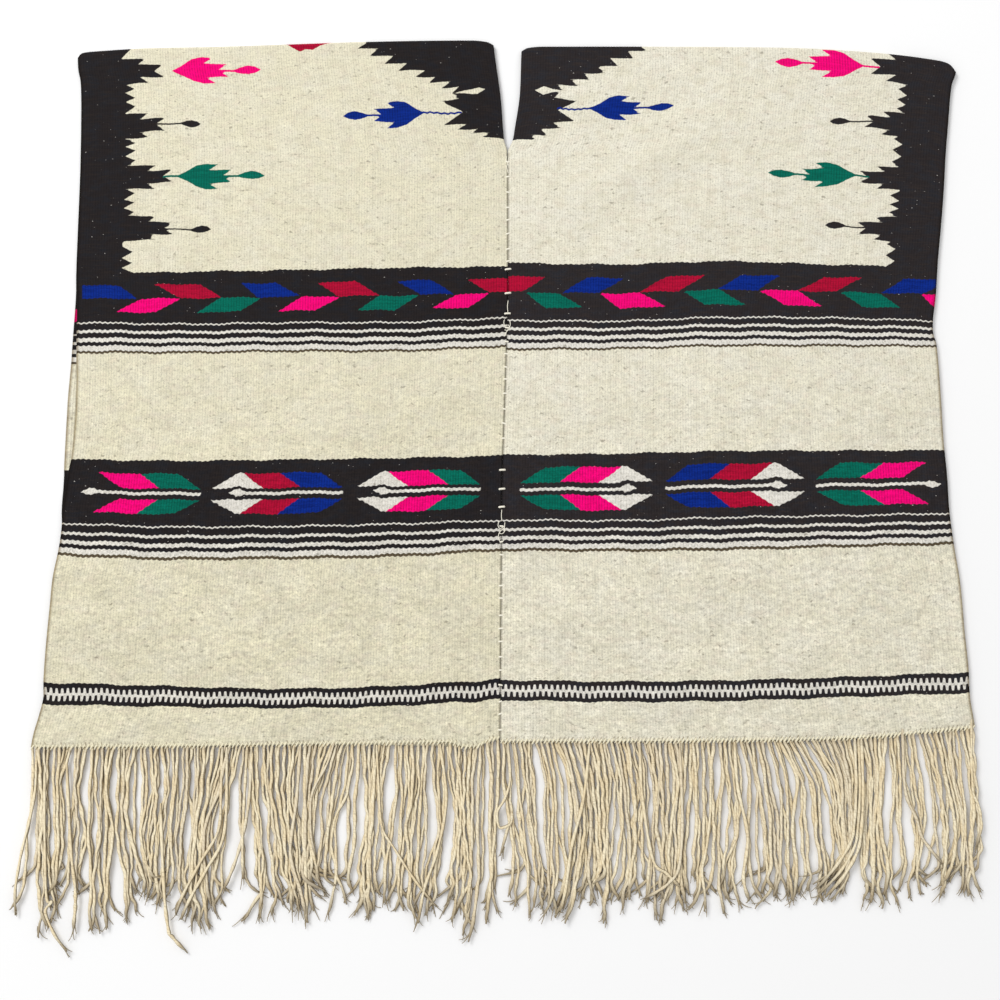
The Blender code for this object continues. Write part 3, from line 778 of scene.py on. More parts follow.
class Section:
    """The columns of vertices round a panel's wall: the charted side from the seam to the
    selvedge, round the selvedge, the hidden side back, and round the seam edge."""

    def __init__(self, layer):
        if layer == FRONT:
            face = np.arange(2 * RIBS + 1) / (2 * RIBS)
            crest = np.arange(2 * RIBS + 1) % 2 == 1
        else:
            face = np.concatenate(([0], (np.arange(RIBS) + 0.5) / RIBS, [1]))
            crest = np.array([False] + [True] * RIBS + [False])
        rib_number = np.minimum((face * RIBS).astype(int), RIBS - 1)
        self.faces = len(face)
        self.share = np.concatenate((face, [1] * 3, UNDER_SHARES, [0] * 3))
        self.offset = np.zeros(len(self.share))
        self.offset[self.faces : self.faces + 3] = EDGE_ROUND * np.sin(TURNS)
        self.offset[-3:] = -EDGE_ROUND * np.sin(TURNS)
        outer_depth = 0.5 + 0.5 * np.cos(TURNS)
        flat = [0.0] * len(UNDER_SHARES)
        self.level = np.concatenate(([1.0] * self.faces, outer_depth, flat, outer_depth[::-1]))
        if layer == BACK:
            self.level = 1 - self.level
        rest = [False] * (len(self.share) - self.faces)
        self.crest = np.concatenate((crest, rest))
        # 1 on even ribs, -1 on odd ones and 0 between them
        self.parity = np.where(self.crest, 1 - 2 * np.concatenate((rib_number % 2, rest)), 0.0)

    def around(self):
        """U of each column, with one more for where the ring closes."""
        top = TOP_U[0] + (TOP_U[1] - TOP_U[0]) * self.share[: self.faces]
        outer = UNDER_U[0] - (UNDER_U[0] - TOP_U[1]) * np.array((0.75, 0.5, 0.25))
        under = UNDER_U[0] + (UNDER_U[1] - UNDER_U[0]) * np.linspace(0, 1, len(UNDER_SHARES))
        inner = UNDER_U[1] + (RING_U - UNDER_U[1]) * np.array((0.25, 0.5, 0.75))
        return np.concatenate((top, outer, under, inner, [RING_U]))


def weft_lines_down(side, layer, share, weft):
    """How far down each weft lies at each share of the width, as rows by columns."""
    knots = [ROLL_WEFT]
    lines = [side_curve(FOLD_LINE, side, share) + FOLD_HEIGHT / 2]
    for knot, *downs in WEFT_LINES[side][:-1]:
        knots.append(knot)
        lines.append(on_curve(WEFT_SHARES, downs, share))
    knots = np.array([*knots, HEM_WEFT])
    lines = np.array([*lines, hem_line(side, layer, share)])
    low = np.clip(np.searchsorted(knots, weft, side="right") - 1, 0, len(knots) - 2)
    part = ((weft - knots[low]) / (knots[low + 1] - knots[low]))[:, None]
    down = lines[low] * (1 - part) + lines[low + 1] * part

    rib = share * PANEL_WIDTH
    fade = np.clip(np.minimum(weft - ROLL_WEFT, HEM_WEFT - weft) / HEM_EASE, 0, 1)[:, None]
    long_wave = np.sin(2 * np.pi * rib / WAVE_LENGTHS[0] + weft[:, None] / WAVE_DRIFTS[0])
    short_wave = np.sin(2 * np.pi * rib / WAVE_LENGTHS[1] - weft[:, None] / WAVE_DRIFTS[1])
    down = down + fade * WAVE_ACROSS * (long_wave + SHORT_WAVE * short_wave)
    dip = side_curve(HEM_DIP, side, share)
    return down + dip * np.exp((weft[:, None] - HEM_WEFT) / HEM_DIP_REACH)


def across_at(side, layer, section, down):
    """Where each column lies across, with its own offset past the panel's rounded edges."""
    out = OUTWARD[side]
    inner = inner_edge(side, layer, down) + out * EDGE_ROUND
    if layer == FRONT:
        inner = inner + out * SEAM_OPEN * np.clip((down - SLIT_END) / SEAM_EASE, 0, 1)
    outer = outer_edge(side, layer, down) - out * EDGE_ROUND
    return inner + section.share * (outer - inner) + out * section.offset


def flat_rows(side, layer, section):
    """The rows of a layer past the roll: the weft of each, how far down each column lies, and
    how much of the cloth's thickness the row has."""
    weft = np.array(weft_rows(side, layer) + [HEM_WEFT - short for short, _ in END_ROWS])
    full = np.array([1.0] * (len(weft) - len(END_ROWS)) + [full for _, full in END_ROWS])[:, None]
    down = weft_lines_down(side, layer, section.share, weft)
    if layer == BACK:
        down[0] += LAYER_GAP
    return weft, down + section.parity * on_curve(*zip(*ZIGZAG), weft)[:, None], full


def front_rows(side, section):
    """The front layer with the whole roll over the fold: points and the weft of each row."""
    fold = side_curve(FOLD_LINE, side, section.share)
    relief = np.where(section.crest, RIB_RELIEF, 0.0)
    middle = FOLD_HEIGHT / 2
    rows, wefts = [], []
    for step in range(ROLL_ROWS, 0, -1):
        angle = math.pi * step / ROLL_ROWS
        radius = middle - CLOTH_THICK * (1 - section.level)
        radius = radius + relief * (0.5 + 0.5 * math.cos(angle))
        down = fold + middle - radius * math.sin(angle)
        height = middle + radius * math.cos(angle)
        rows.append(placed(across_at(side, FRONT, section, down), down, height))
        wefts.append(ROLL_WEFT * (1 - 2 * step / ROLL_ROWS))

    weft, down, full = flat_rows(side, FRONT, section)
    across = across_at(side, FRONT, section, down)
    level = 0.5 + (section.level - 0.5) * full
    height = front_underside(across, down, fold) + CLOTH_THICK * level + relief * full
    rows.extend(placed(across, down, height))
    return np.array(rows), np.array(wefts + list(weft))


def back_rows(side, section):
    """The back layer, flat on the floor with its charted side down."""
    weft, down, full = flat_rows(side, BACK, section)
    height = CLOTH_THICK * (0.5 + (section.level - 0.5) * full)
    return placed(across_at(side, BACK, section, down), down, height), -weft


def strip_between(first, second):
    """Triangles that fill the space between two chains of vertices, end to end."""
    faces = []
    i = j = 0
    while i < len(first) - 1 or j < len(second) - 1:
        ahead = (i + 1) / (len(first) - 1)
        if j == len(second) - 1 or (i < len(first) - 1 and ahead <= (j + 1) / (len(second) - 1)):
            faces.append((first[i], first[i + 1], second[j]))
            i += 1
        else:
            faces.append((first[i], second[j + 1], second[j]))
            j += 1
    return faces


def stacked(*parts):
    """Arrays that broadcast together, as the last axis of one."""
    return np.stack(np.broadcast_arrays(*parts), axis=-1)


def ring_quads(index):
    """Quads between neighbouring rings of vertices, the last two axes of their numbers."""
    following = np.roll(index, -1, axis=-1)
    quads = (index[..., :-1, :], following[..., :-1, :], following[..., 1:, :], index[..., 1:, :])
    return np.stack(quads, axis=-1).reshape(-1, 4).tolist()


def closed_loft(rows, section):
    """Faces of a closed tube through rows of vertices, and a UV for every corner."""
    count, ring = rows.shape[:2]
    faces = ring_quads(np.arange(count * ring).reshape(count, ring))

    middle = rows[:, section.faces // 2]
    length = np.concatenate(([0], np.cumsum(np.linalg.norm(np.diff(middle, axis=0), axis=1))))
    v = LOW_V + (HIGH_V - LOW_V) * length / length[-1]
    u = section.around()
    u_here, v_here = np.meshgrid(u[:-1], v[:-1])
    u_next, v_next = np.meshgrid(u[1:], v[1:])
    corners = ((u_here, v_here), (u_next, v_here), (u_next, v_next), (u_here, v_next))
    uvs = [np.stack([stacked(*pair) for pair in corners], axis=2).reshape(-1, 2)]

    for row, (near, far), turn in ((0, CAP_U[0], 1), (count - 1, CAP_U[1], -1)):
        start, end = row * ring, row * ring + section.faces
        first, second = list(range(start, end)), list(range(start + ring - 1, end - 1, -1))
        for face in strip_between(first, second):
            faces.append(face[::-turn])
            for corner in face[::-turn]:
                chain, side_u = (first, near) if corner < end else (second, far)
                share = chain.index(corner) / (len(chain) - 1)
                uvs.append(np.array([(side_u, LOW_V + (HIGH_V - LOW_V) * share)]))
    return faces, np.concatenate(uvs)


def signed_volume(points, faces):
    """The volume that faces enclose, below zero where they face inward."""
    total = 0.0
    for size in (3, 4):
        chosen = np.array([face for face in faces if len(face) == size])
        for i in range(1, size - 1):
            if len(chosen):
                a, b, c = points[chosen[:, 0]], points[chosen[:, i]], points[chosen[:, i + 1]]
                total += float(np.einsum("ij,ij->", a, np.cross(b, c)))
    return total


def add_object(name, data):
    """An object in the scene."""
    thing = bpy.data.objects.new(name, data)
    bpy.context.scene.collection.objects.link(thing)
    return thing


def mesh_piece(name, points, faces, uvs, material, node):
    """A smooth-shaded piece of the model that rides the frame in place of a CAD node."""
    if signed_volume(points, faces) < 0:
        sizes = np.array([len(face) for face in faces])
        ends = np.cumsum(sizes)
        order = [np.arange(end - 1, end - size - 1, -1) for end, size in zip(ends, sizes)]
        faces = [face[::-1] for face in faces]
        uvs = uvs[np.concatenate(order)]
    mesh = bpy.data.meshes.new(name)
    mesh.from_pydata(points.tolist(), [], faces)
    layer = mesh.uv_layers.new(name="OFBake")
    layer.data.foreach_set("uv", uvs.astype(np.float32).ravel())
    mesh.polygons.foreach_set("use_smooth", np.ones(len(faces), bool))
    mesh.materials.append(material)
    piece = add_object(name, mesh)
    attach(piece, "root")
    if node:
        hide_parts(node)
    return piece


def add_values(piece, name, values):
    attribute = piece.data.attributes.new(name, "FLOAT", "POINT")
    attribute.data.foreach_set("value", np.ascontiguousarray(values, np.float32).ravel())


def add_vectors(piece, name, *parts):
    attribute = piece.data.attributes.new(name, "FLOAT_VECTOR", "POINT")
    attribute.data.foreach_set("vector", stacked(*parts).astype(np.float32).ravel())


def make_cloth(side, layer, material):
    """One layer of a panel, as a closed thin wall with its chart."""
    section = Section(layer)
    rows, weft = front_rows(side, section) if layer == FRONT else back_rows(side, section)
    faces, uvs = closed_loft(rows, section)
    name = f"{side}_{layer}_cloth"
    piece = mesh_piece(name, rows.reshape(-1, 3), faces, uvs, material, f"{side}_panel")
    rib, weft = np.broadcast_arrays(section.share * PANEL_WIDTH, weft[:, None])
    for name, depth in woven_chart(side, layer, rib, weft).items():
        add_values(piece, name, depth)
    add_vectors(piece, "loom", rib, weft, PANEL_SEED[side] + LAYER_SEED[layer])
    return piece


# ================================================================ materials


class Value:
    """What a shader node gives out, which can be added to, subtracted from and multiplied."""

    def __init__(self, shader, socket):
        self.shader, self.socket = shader, socket

    def __add__(self, other):
        return self.shader.math("ADD", self, other)

    def __radd__(self, other):
        return self.shader.math("ADD", other, self)

    def __sub__(self, other):
        return self.shader.math("SUBTRACT", self, other)

    def __rsub__(self, other):
        return self.shader.math("SUBTRACT", other, self)

    def __mul__(self, other):
        return self.shader.math("MULTIPLY", self, other)


class Shader:
    """A material's nodes, added one after another."""

    def __init__(self, name):
        self.material = bpy.data.materials.new(name)
        self.material.use_nodes = True
        self.nodes = self.material.node_tree.nodes
        self.links = self.material.node_tree.links
        self.surface = self.nodes["Principled BSDF"]

    def _set(self, socket, value):
        if isinstance(value, Value):
            self.links.new(value.socket, socket)
        else:
            socket.default_value = value

    def _add(self, kind, inputs, output=0, **settings):
        """What a new node gives out. Its inputs are set by name or number."""
        node = self.nodes.new(f"ShaderNode{kind}")
        for name, setting in settings.items():
            setattr(node, name, setting)
        for place, value in inputs.items():
            self._set(node.inputs[place], value)
        return Value(self, node.outputs[output])

    def attribute(self, name, output="Fac"):
        return self._add("Attribute", {}, output, attribute_name=name)

    def math(self, operation, *values, clamp=False):
        return self._add("Math", dict(enumerate(values)), operation=operation, use_clamp=clamp)

    def above(self, value, threshold, slope):
        """How far the value is above a threshold, times the slope, from 0 to 1."""
        return self.math("MULTIPLY", value - threshold, slope, clamp=True)

    def ramp(self, value, low, high, start=0.0, end=1.0):
        """The value's place between low and high, smoothed, from start to end."""
        inputs = {"Value": value, "From Min": low, "From Max": high, "To Min": start, "To Max": end}
        return self._add("MapRange", inputs, interpolation_type="SMOOTHSTEP")

    def mix(self, share, first, second, blend="MIX"):
        return self._add("Mix", {0: share, 6: first, 7: second}, 2, data_type="RGBA", blend_type=blend)

    def shaded(self, colour, shade, share=1.0):
        return self.mix(share, colour, shade, "MULTIPLY")

    def heathered(self, colour, values, tints):
        """A colour with tints mixed in, each following the value that it names."""
        for name, low, high, most, tint in tints:
            colour = self.mix(self.ramp(values[name], low, high, 0.0, most), colour, tint)
        return colour

    def noise(self, vector, scale, detail=2.0, roughness=0.5):
        stretched = self._add("VectorMath", {0: vector, 1: scale}, operation="MULTIPLY")
        inputs = {"Vector": stretched, "Scale": 1.0, "Detail": detail, "Roughness": roughness}
        return self._add("TexNoise", inputs, "Fac")

    def combined(self, *parts):
        return self._add("CombineXYZ", dict(enumerate(parts)))

    def separate(self, vector):
        first = self._add("SeparateXYZ", {0: vector})
        return [Value(self, output) for output in first.socket.node.outputs]

    def bump(self, height, distance):
        relief = self._add("Bump", {"Strength": 1.0, "Distance": distance, "Height": height})
        self._set(self.surface.inputs["Normal"], relief)

    def finish(self, colour, roughness, sheen, sheen_colour):
        self._set(self.surface.inputs["Base Color"], colour)
        self._set(self.surface.inputs["Roughness"], roughness)
        self.surface.inputs["Sheen Weight"].default_value = sheen
        self.surface.inputs["Sheen Roughness"].default_value = 0.45
        self.surface.inputs["Sheen Tint"].default_value = sheen_colour
        self.surface.inputs["Specular IOR Level"].default_value = 0.1
        return self.material


CREAM, CREAM_YELLOW, CREAM_GREY = srgb(248, 244, 227), srgb(244, 237, 204), srgb(232, 229, 215)
BLUSH, OLIVE = srgb(230, 214, 194), srgb(218, 212, 184)
LIGHT_WOOL = srgb(238, 234, 226)
FLECK, DARK_FLECK = srgb(172, 164, 144), srgb(128, 118, 100)
DARK, DARK_BLUE, DARK_BROWN = srgb(36, 32, 33), srgb(34, 36, 42), srgb(46, 39, 36)
BROWN_WOOL = srgb(92, 80, 62)
NEP = srgb(222, 218, 210)
SLIT_PAINTED_SHADE = srgb(140, 124, 98)
SEAM_SHADE = srgb(96, 84, 66)
SELVEDGE_PAINTED_SHADE = srgb(150, 132, 104)
DYED = {
    "pink": (srgb(255, 0, 128), srgb(240, 0, 112)),
    "red": (srgb(186, 12, 54), srgb(158, 9, 48)),
    "blue": (srgb(8, 44, 140), srgb(4, 34, 116)),
    "green": (srgb(0, 112, 93), srgb(0, 94, 79)),
}
# How the wool varies, each in its own way: scale across, down and by piece, detail, roughness
WOOL_NOISES = {
    "fine": ((0.9, 1.1, 5.0), 1.0), "streak": ((0.03, 0.42, 3.0), 3.0, 0.6),
    "patch": ((0.017, 0.021, 7.0), 3.0, 0.55), "haze": ((0.05, 0.07, 11.0), 3.0, 0.6),
    "ends": ((0.27, 0.011, 6.0), 2.0, 0.5), "speck": ((0.36, 0.44, 2.0), 2.0, 0.6),
    "flecks": ((0.125, 0.21, 9.0), 1.5, 0.4), "nub": ((0.13, 0.18, 29.0), 3.0, 0.66),
    "mottle": ((0.03, 0.042, 31.0), 2.0, 0.5), "cloudy": ((0.009, 0.013, 37.0), 2.0, 0.5),
    "crowd": ((0.03, 0.045, 4.0), 2.0), "blush": ((0.05, 0.09, 17.0), 3.0, 0.55),
    "olive": ((0.06, 0.08, 23.0), 3.0, 0.55), "neps": ((0.3, 0.5, 13.0), 0.0),
}
# What is mixed into a colour: (the noise it follows, the values of that with none of it and
# with the most, how much that is, the tint)
CREAM_TINTS = (
    ("haze", 0.44, 0.76, 0.3, CREAM_GREY), ("blush", 0.44, 0.74, 0.36, BLUSH),
    ("olive", 0.44, 0.74, 0.36, OLIVE),
)
CREAM_FLECKS = (
    ("streak", 0.4, 0.75, 0.14, FLECK), ("ends", 0.42, 0.72, 0.1, FLECK),
    ("speck", 0.5, 0.72, 0.5, FLECK),
)
DARK_TINTS = (("haze", 0.4, 0.7, 0.7, DARK_BLUE), ("streak", 0.45, 0.75, 0.8, DARK_BROWN))
# The wool's brightness varies at three scales, and more so toward the hem than at the shoulder
UNEVEN = (("nub", 0.36, 1.0), ("mottle", 0.1, 0.3), ("cloudy", 0.02, 0.22))
# Where the light wool is whiter than the cream, and where the dark wool is browner, by weft
WHITE_ZONES = ((BAND_1[0] + 6, 455.5), (BAND_2[0] + 6, 746.0), (ZIP_TOP + 1, ZIP_TOP + 27))
BROWN_ZONES = ((456.2, 460.0), (747.0, 751.4))
ZONE_BLUR, EDGE_BLUR = 0.3, 0.4
RIGHT_SIDE = (LAYER_SEED[BACK], PANEL_SEED[RIGHT])  # from the left's last seed to the right's first
# How a ramp runs: from where to where its value changes a share, and from what to what
YELLOW_PATCHES, YELLOW_DOWN, YELLOW_LESS = (0.32, 0.62, 0.48, 0.72), (250.0, 800.0, 0.0, 0.16), 0.15
CREAM_SHADE, DARK_SHADE = (*RIGHT_SIDE, 0.93, 0.965), (*RIGHT_SIDE, 1.0, 1.4)
LOW_SHADE, GRAIN = (620.0, 800.0, 1.0, 0.983), (0.25, 0.75, 0.9, 1.088)
UNEVEN_FROM, UNEVEN_TO = 250.0, 850.0
WHITER = 0.9
# Specks: the noise above which they show, how soon they are whole, and how much they show
DARK_FLECKS, NEPS = ((0.3, 0.7, 0.685, 0.62), 9.0, 0.55), (0.83, 30.0, 0.65)
RAGGED, DYED_STREAKS, CHECK_EDGES = 0.7, (0.35, 0.7), (-0.45, 0.2)
# The slits at the hem, with painted shade in their openings: how far in they lie, how far
# they slant, and ramps for their width, their length and which of them are open
SLIT_IN, SLIT_SLANT = 4.0, 0.55
SLIT_WIDTH, SLIT_LENGTH, SLIT_OPEN = (0.25, 0.8), (2.6, 1.6), (0.4, 0.6, 0.0, 0.7)
# Painted shade in the seam's groove: how far it reaches across, from where down, and how dark
SEAM_NEAR, SEAM_FROM, SEAM_DARK = (1.5, 0.2), (160.0, 176.0), 0.3
# Painted shade along the selvedge: where across it starts and is whole, and how dark it gets
SELVEDGE_SHADE_NEAR = (PANEL_WIDTH - 4.0, PANEL_WIDTH - 0.5, 0.0, 0.7)
# How each rib's painted valley shade differs: by its number and along it, then ramps for its strength and
# for where across the rib it lies
OWN_RIB, OWN_WEFT, OWN_SHADE_DEPTH, VALLEY_SHADE_SPAN = 7.3, 0.22, (0.3, 0.7, 0.35, 1.25), (-0.2, 1.0)
WOOL_ROUGHNESS, WOOL_SHEEN = (0.2, 0.8, 0.88, 0.98), (0.05, srgb(235, 228, 215))
PICK_PITCH = 1.7  # the weft's own pitch, down the cloth
# How strong the painted shade in the valleys between ribs is in each wool, and how much darker it makes
# them
CREAM_VALLEY_SHADE, DARK_VALLEY_SHADE, DYED_VALLEY_SHADE, RIB_SHADE = 0.43, 0.7, 1.0, 0.3
# How much the beat of the picks and three noises lift the surface
BEAT_LIFT, LIFTS, WOOL_BUMP = 0.28, (("fine", 1.0), ("haze", 1.2), ("nub", 1.3)), 0.35 * MM


def make_wool(name, rib_bump):
    """Weft-faced wool cloth: heathered cream, near-black and dyed wools on ribs of warp."""
    shader = Shader(name)
    loom = shader.attribute("loom", "Vector")
    rib, weft, panel = shader.separate(loom)
    noises = {noise: shader.noise(loom, *form) for noise, form in WOOL_NOISES.items()}
    places = shader.math("ABSOLUTE", weft - CENTRE_WEFT) + CENTRE_WEFT

    def in_zones(zones):
        """1 between the wefts of any zone, 0 elsewhere."""
        return sum(
            shader.ramp(places, low - ZONE_BLUR, low + ZONE_BLUR)
            * shader.ramp(places, high - ZONE_BLUR, high + ZONE_BLUR, 1.0, 0.0)
            for low, high in zones
        )

    yellow = shader.ramp(noises["patch"], *YELLOW_PATCHES) - panel * YELLOW_LESS
    yellow = yellow + shader.ramp(places, *YELLOW_DOWN)
    cream = shader.heathered(shader.mix(yellow, CREAM, CREAM_YELLOW), noises, CREAM_TINTS)
    cream = shader.mix(in_zones(WHITE_ZONES) * WHITER, cream, LIGHT_WOOL)
    cream = shader.heathered(cream, noises, CREAM_FLECKS)
    crowding, slope, share = DARK_FLECKS
    flecks = shader.above(noises["flecks"], shader.ramp(noises["crowd"], *crowding), slope)
    cream = shader.mix(flecks * share, cream, DARK_FLECK)
    cream = shader.shaded(cream, shader.ramp(panel, *CREAM_SHADE))

    dark = shader.heathered(DARK, noises, DARK_TINTS)
    dark = shader.shaded(dark, shader.ramp(panel, *DARK_SHADE))
    dark = shader.mix(in_zones(BROWN_ZONES), dark, BROWN_WOOL)
    threshold, slope, share = NEPS
    dark = shader.mix(shader.above(noises["neps"], threshold, slope) * share, dark, NEP)

    ragged = (noises["fine"] - 0.5) * RAGGED
    even_rib = shader.math("SINE", rib * (math.pi / RIB_PITCH))
    checks = shader.attribute("even") * shader.ramp(even_rib, *CHECK_EDGES)
    odd_rib = shader.ramp(even_rib, -CHECK_EDGES[0], -CHECK_EDGES[1])
    checks = shader.math("MULTIPLY_ADD", shader.attribute("odd"), odd_rib, checks)
    # Each yarn's colour, and the strength of the painted shade in its rib valleys
    colour, valley_shade = cream, CREAM_VALLEY_SHADE
    for yarn in YARNS:
        depth = shader.attribute(yarn)
        if yarn == "dark":
            depth = shader.math("MAXIMUM", depth, checks)
            dyed, dyed_valley_shade = dark, DARK_VALLEY_SHADE
        else:
            depth = depth + SWELL
            dyed = shader.mix(shader.ramp(noises["streak"], *DYED_STREAKS), *DYED[yarn])
            dyed_valley_shade = DYED_VALLEY_SHADE
        mask = shader.ramp(depth + ragged, -EDGE_BLUR, EDGE_BLUR)
        colour = shader.mix(mask, colour, dyed)
        change = shader.math("SUBTRACT", dyed_valley_shade, valley_shade)
        valley_shade = shader.math("MULTIPLY_ADD", mask, change, valley_shade)

    # Painted shade in small slits between the last wefts, where the warp ends are turned in at the hem
    near_hem = shader.math("ABSOLUTE", shader.math("ABSOLUTE", weft) - (HEM_WEFT - SLIT_IN))
    slit = shader.math("COSINE", (rib + weft * SLIT_SLANT) * (2 * math.pi / HEM_PITCH))
    slit_shade = shader.ramp(slit, *SLIT_WIDTH) * shader.ramp(near_hem, *SLIT_LENGTH)
    slit_shade = slit_shade * shader.ramp(noises["ends"], *SLIT_OPEN)
    colour = shader.mix(slit_shade, colour, SLIT_PAINTED_SHADE)

    # Painted shade in the groove between the panels along the seam, below the slit
    painted_seam_shade = shader.ramp(rib, *SEAM_NEAR) * shader.ramp(weft, *SEAM_FROM)
    colour = shader.shaded(colour, SEAM_SHADE, painted_seam_shade * SEAM_DARK)
    # Painted shade along the selvedge, where the rounded edge turns away from the light
    colour = shader.shaded(colour, SELVEDGE_PAINTED_SHADE, shader.ramp(rib, *SELVEDGE_SHADE_NEAR))

    # Painted shade in the valleys between ribs, most of all in the dyed wool, and to each rib its own
    # degree
    wave = shader.math("COSINE", rib * (2 * math.pi / RIB_PITCH))
    number = shader.math("FLOOR", shader.math("DIVIDE", rib, RIB_PITCH) + 0.5)
    own_place = shader.combined(number * OWN_RIB, weft * OWN_WEFT, panel)
    own_valley_shade = shader.ramp(shader.noise(own_place, (1.0, 1.0, 1.0)), *OWN_SHADE_DEPTH) * valley_shade
    shade = 1.0 - shader.ramp(wave, *VALLEY_SHADE_SPAN) * own_valley_shade * RIB_SHADE
    shade = shade * shader.ramp(noises["fine"], *GRAIN)
    shade = shade * shader.ramp(places, *LOW_SHADE)
    for uneven, at_shoulder, at_hem in UNEVEN:
        amount = shader.ramp(places, UNEVEN_FROM, UNEVEN_TO, at_shoulder, at_hem)
        shade = shader.math("MULTIPLY_ADD", shade, (noises[uneven] - 0.5) * amount, shade)
    colour = shader.shaded(colour, shade)

    over = rib * (math.pi / RIB_PITCH)
    height = shader.math("SINE", weft * (2 * math.pi / PICK_PITCH) + over) * BEAT_LIFT
    for noise, lift in LIFTS:
        height = height + noises[noise] * lift
    shader.bump(height - wave * rib_bump, WOOL_BUMP)
    return shader.finish(colour, shader.ramp(noises["fine"], *WOOL_ROUGHNESS), *WOOL_SHEEN)


TAN, TAN_LIGHT, TAN_GREY = srgb(241, 223, 185), srgb(251, 239, 208), srgb(230, 218, 194)
DARK_TAN_AND_GROOVE_SHADE, SIDE_SHADE, TIP_BROWN = srgb(146, 122, 88), srgb(88, 70, 46), srgb(112, 97, 76)
YARN_SHEEN = srgb(240, 230, 210)
PLY_LAY = 8.5  # how far one turn of the two plies reaches
# What is mixed into the yarn's colour: grey on some strands, darker fluff, painted shade in the ply
# groove, down both sides of a strand (most on its right) and near its root, and brown at the tip
YARN_TINTS = (
    ("own", 0.6, 1.0, 0.6, TAN_GREY), ("fluff", 0.5, 0.78, 0.45, DARK_TAN_AND_GROOVE_SHADE),
    ("groove", -0.2, 1.0, 0.2, DARK_TAN_AND_GROOVE_SHADE), ("aside", 0.5, 1.0, 0.32, SIDE_SHADE),
    ("aside", -0.35, -0.9, 0.8, SIDE_SHADE), ("along", 14.0, 3.0, 0.22, SIDE_SHADE),
    ("tip", 0.8, 1.0, 0.68, TIP_BROWN),
)


def make_yarn():
    """Two-ply warp yarn: a twisted strand with painted shade in its ply groove, down its sides and near
    its root, and browner at its cut end.
    """
    shader = Shader("warp_yarn")
    cosine, sine, aside = shader.separate(shader.attribute("ply", "Vector"))
    strand = shader.attribute("strand", "Vector")
    along, own, tip = shader.separate(strand)
    angle = along * (2 * math.pi / PLY_LAY)
    groove = cosine * shader.math("COSINE", angle) + sine * shader.math("SINE", angle)
    fluff = shader.noise(strand, (0.55, 91.0, 1.0), 3.0, 0.6)
    tone = shader.noise(strand, (0.03, 57.0, 0.0), 2.0)
    values = {"own": own, "fluff": fluff, "groove": groove, "aside": aside, "along": along, "tip": tip}
    colour = shader.mix(shader.ramp(tone, 0.36, 0.64), TAN, TAN_LIGHT)
    shader.bump(fluff * 0.8 - groove * 0.35, 0.5 * MM)
    return shader.finish(shader.heathered(colour, values, YARN_TINTS), 0.92, 0.04, YARN_SHEEN)


def make_plain(name, colour):
    return Shader(name).finish(colour, 0.9, 0.1, colour)


# ================================================================ threads


TINY = 1e-6  # keeps a length above zero
# How much of its strip of the UV map a tube has: where that starts and how far it goes, then
# the middles of its two end caps and how far those reach
STRIP_U, STRIP_V = (0.06, 0.88), (0.02, 0.96)
CAP_MIDDLES, CAP_REACH = (0.009, 0.991), (0.3, 0.005)


def around(sides):
    """The angles of a ring's corners."""
    return 2 * np.pi * np.arange(sides) / sides


def tube_points(centres, wide, high, sides):
    """Rings of a flattish tube round paths: paths x rings x sides x 3, in millimetres."""
    heading = np.gradient(centres, axis=1)
    level = stacked(-heading[..., 1], heading[..., 0], 0.0)
    level = level / np.maximum(np.linalg.norm(level, axis=-1, keepdims=True), TINY)
    angle = around(sides)
    across = level[:, :, None, :] * (wide[:, :, None] * np.cos(angle))[..., None]
    upward = np.array([0.0, 0.0, 1.0]) * (high[:, :, None] * np.sin(angle))[..., None]
    return centres[:, :, None, :] + across + upward


def tube_faces(shape, u_from, u_to):
    """Faces of closed tubes, and UVs that lay each tube in its own strip."""
    paths, rings, sides = shape
    index = np.arange(paths * rings * sides).reshape(shape)
    columns = (u_to - u_from) / paths
    path, ring, side = np.ogrid[:paths, : rings - 1, :sides]
    left, right = (
        u_from + columns * (path + STRIP_U[0] + STRIP_U[1] * at / sides) for at in (side, side + 1)
    )
    top, bottom = (STRIP_V[0] + STRIP_V[1] * at / (rings - 1) for at in (ring, ring + 1))
    corners = ((left, top), (right, top), (right, bottom), (left, bottom))
    uvs = [np.stack([stacked(*corner) for corner in corners], axis=3).reshape(-1, 2)]
    faces = ring_quads(index)
    for number in range(paths):
        middle = u_from + columns * (number + 0.5)
        for end, height, turn in ((0, CAP_MIDDLES[0], -1), (rings - 1, CAP_MIDDLES[1], 1)):
            faces.append(index[number, end, ::turn].tolist())
            angle = around(sides)[::turn]
            wide, high = CAP_REACH[0] * columns, CAP_REACH[1]
            uvs.append(stacked(middle + wide * np.cos(angle), height + high * np.sin(angle)))
    return faces, np.concatenate(uvs)


def tube_piece(name, groups, material, node=None):
    """A piece of the model from groups of tubes, each tube in its own strip of the UV map."""
    points, faces, uvs = [], [], []
    start = done = 0
    total = sum(len(group) for group in groups)
    for group in groups:
        new_faces, new_uvs = tube_faces(group.shape[:3], done / total, (done + len(group)) / total)
        faces.extend([corner + start for corner in face] for face in new_faces)
        uvs.append(new_uvs)
        points.append(group.reshape(-1, 3))
        start += len(points[-1])
        done += len(group)
    points = placed(*np.concatenate(points).T)
    return mesh_piece(name, points, faces, np.concatenate(uvs), material, node)


# How strands differ: how far their roots stray, as a share of their pitch, how much shorter they
# end at most and by what power, how much shorter the back's are, and how far tips stray
ROOT_JITTER, SHORTER, SHORTER_POWER, TIP_JITTER = 0.12, 36, 2.4, 4.0
BACK_SHORTER = {FRONT: 0, BACK: 9}
RING_SPACING = 0.92  # below 1, a strand's rings lie closer toward its tip
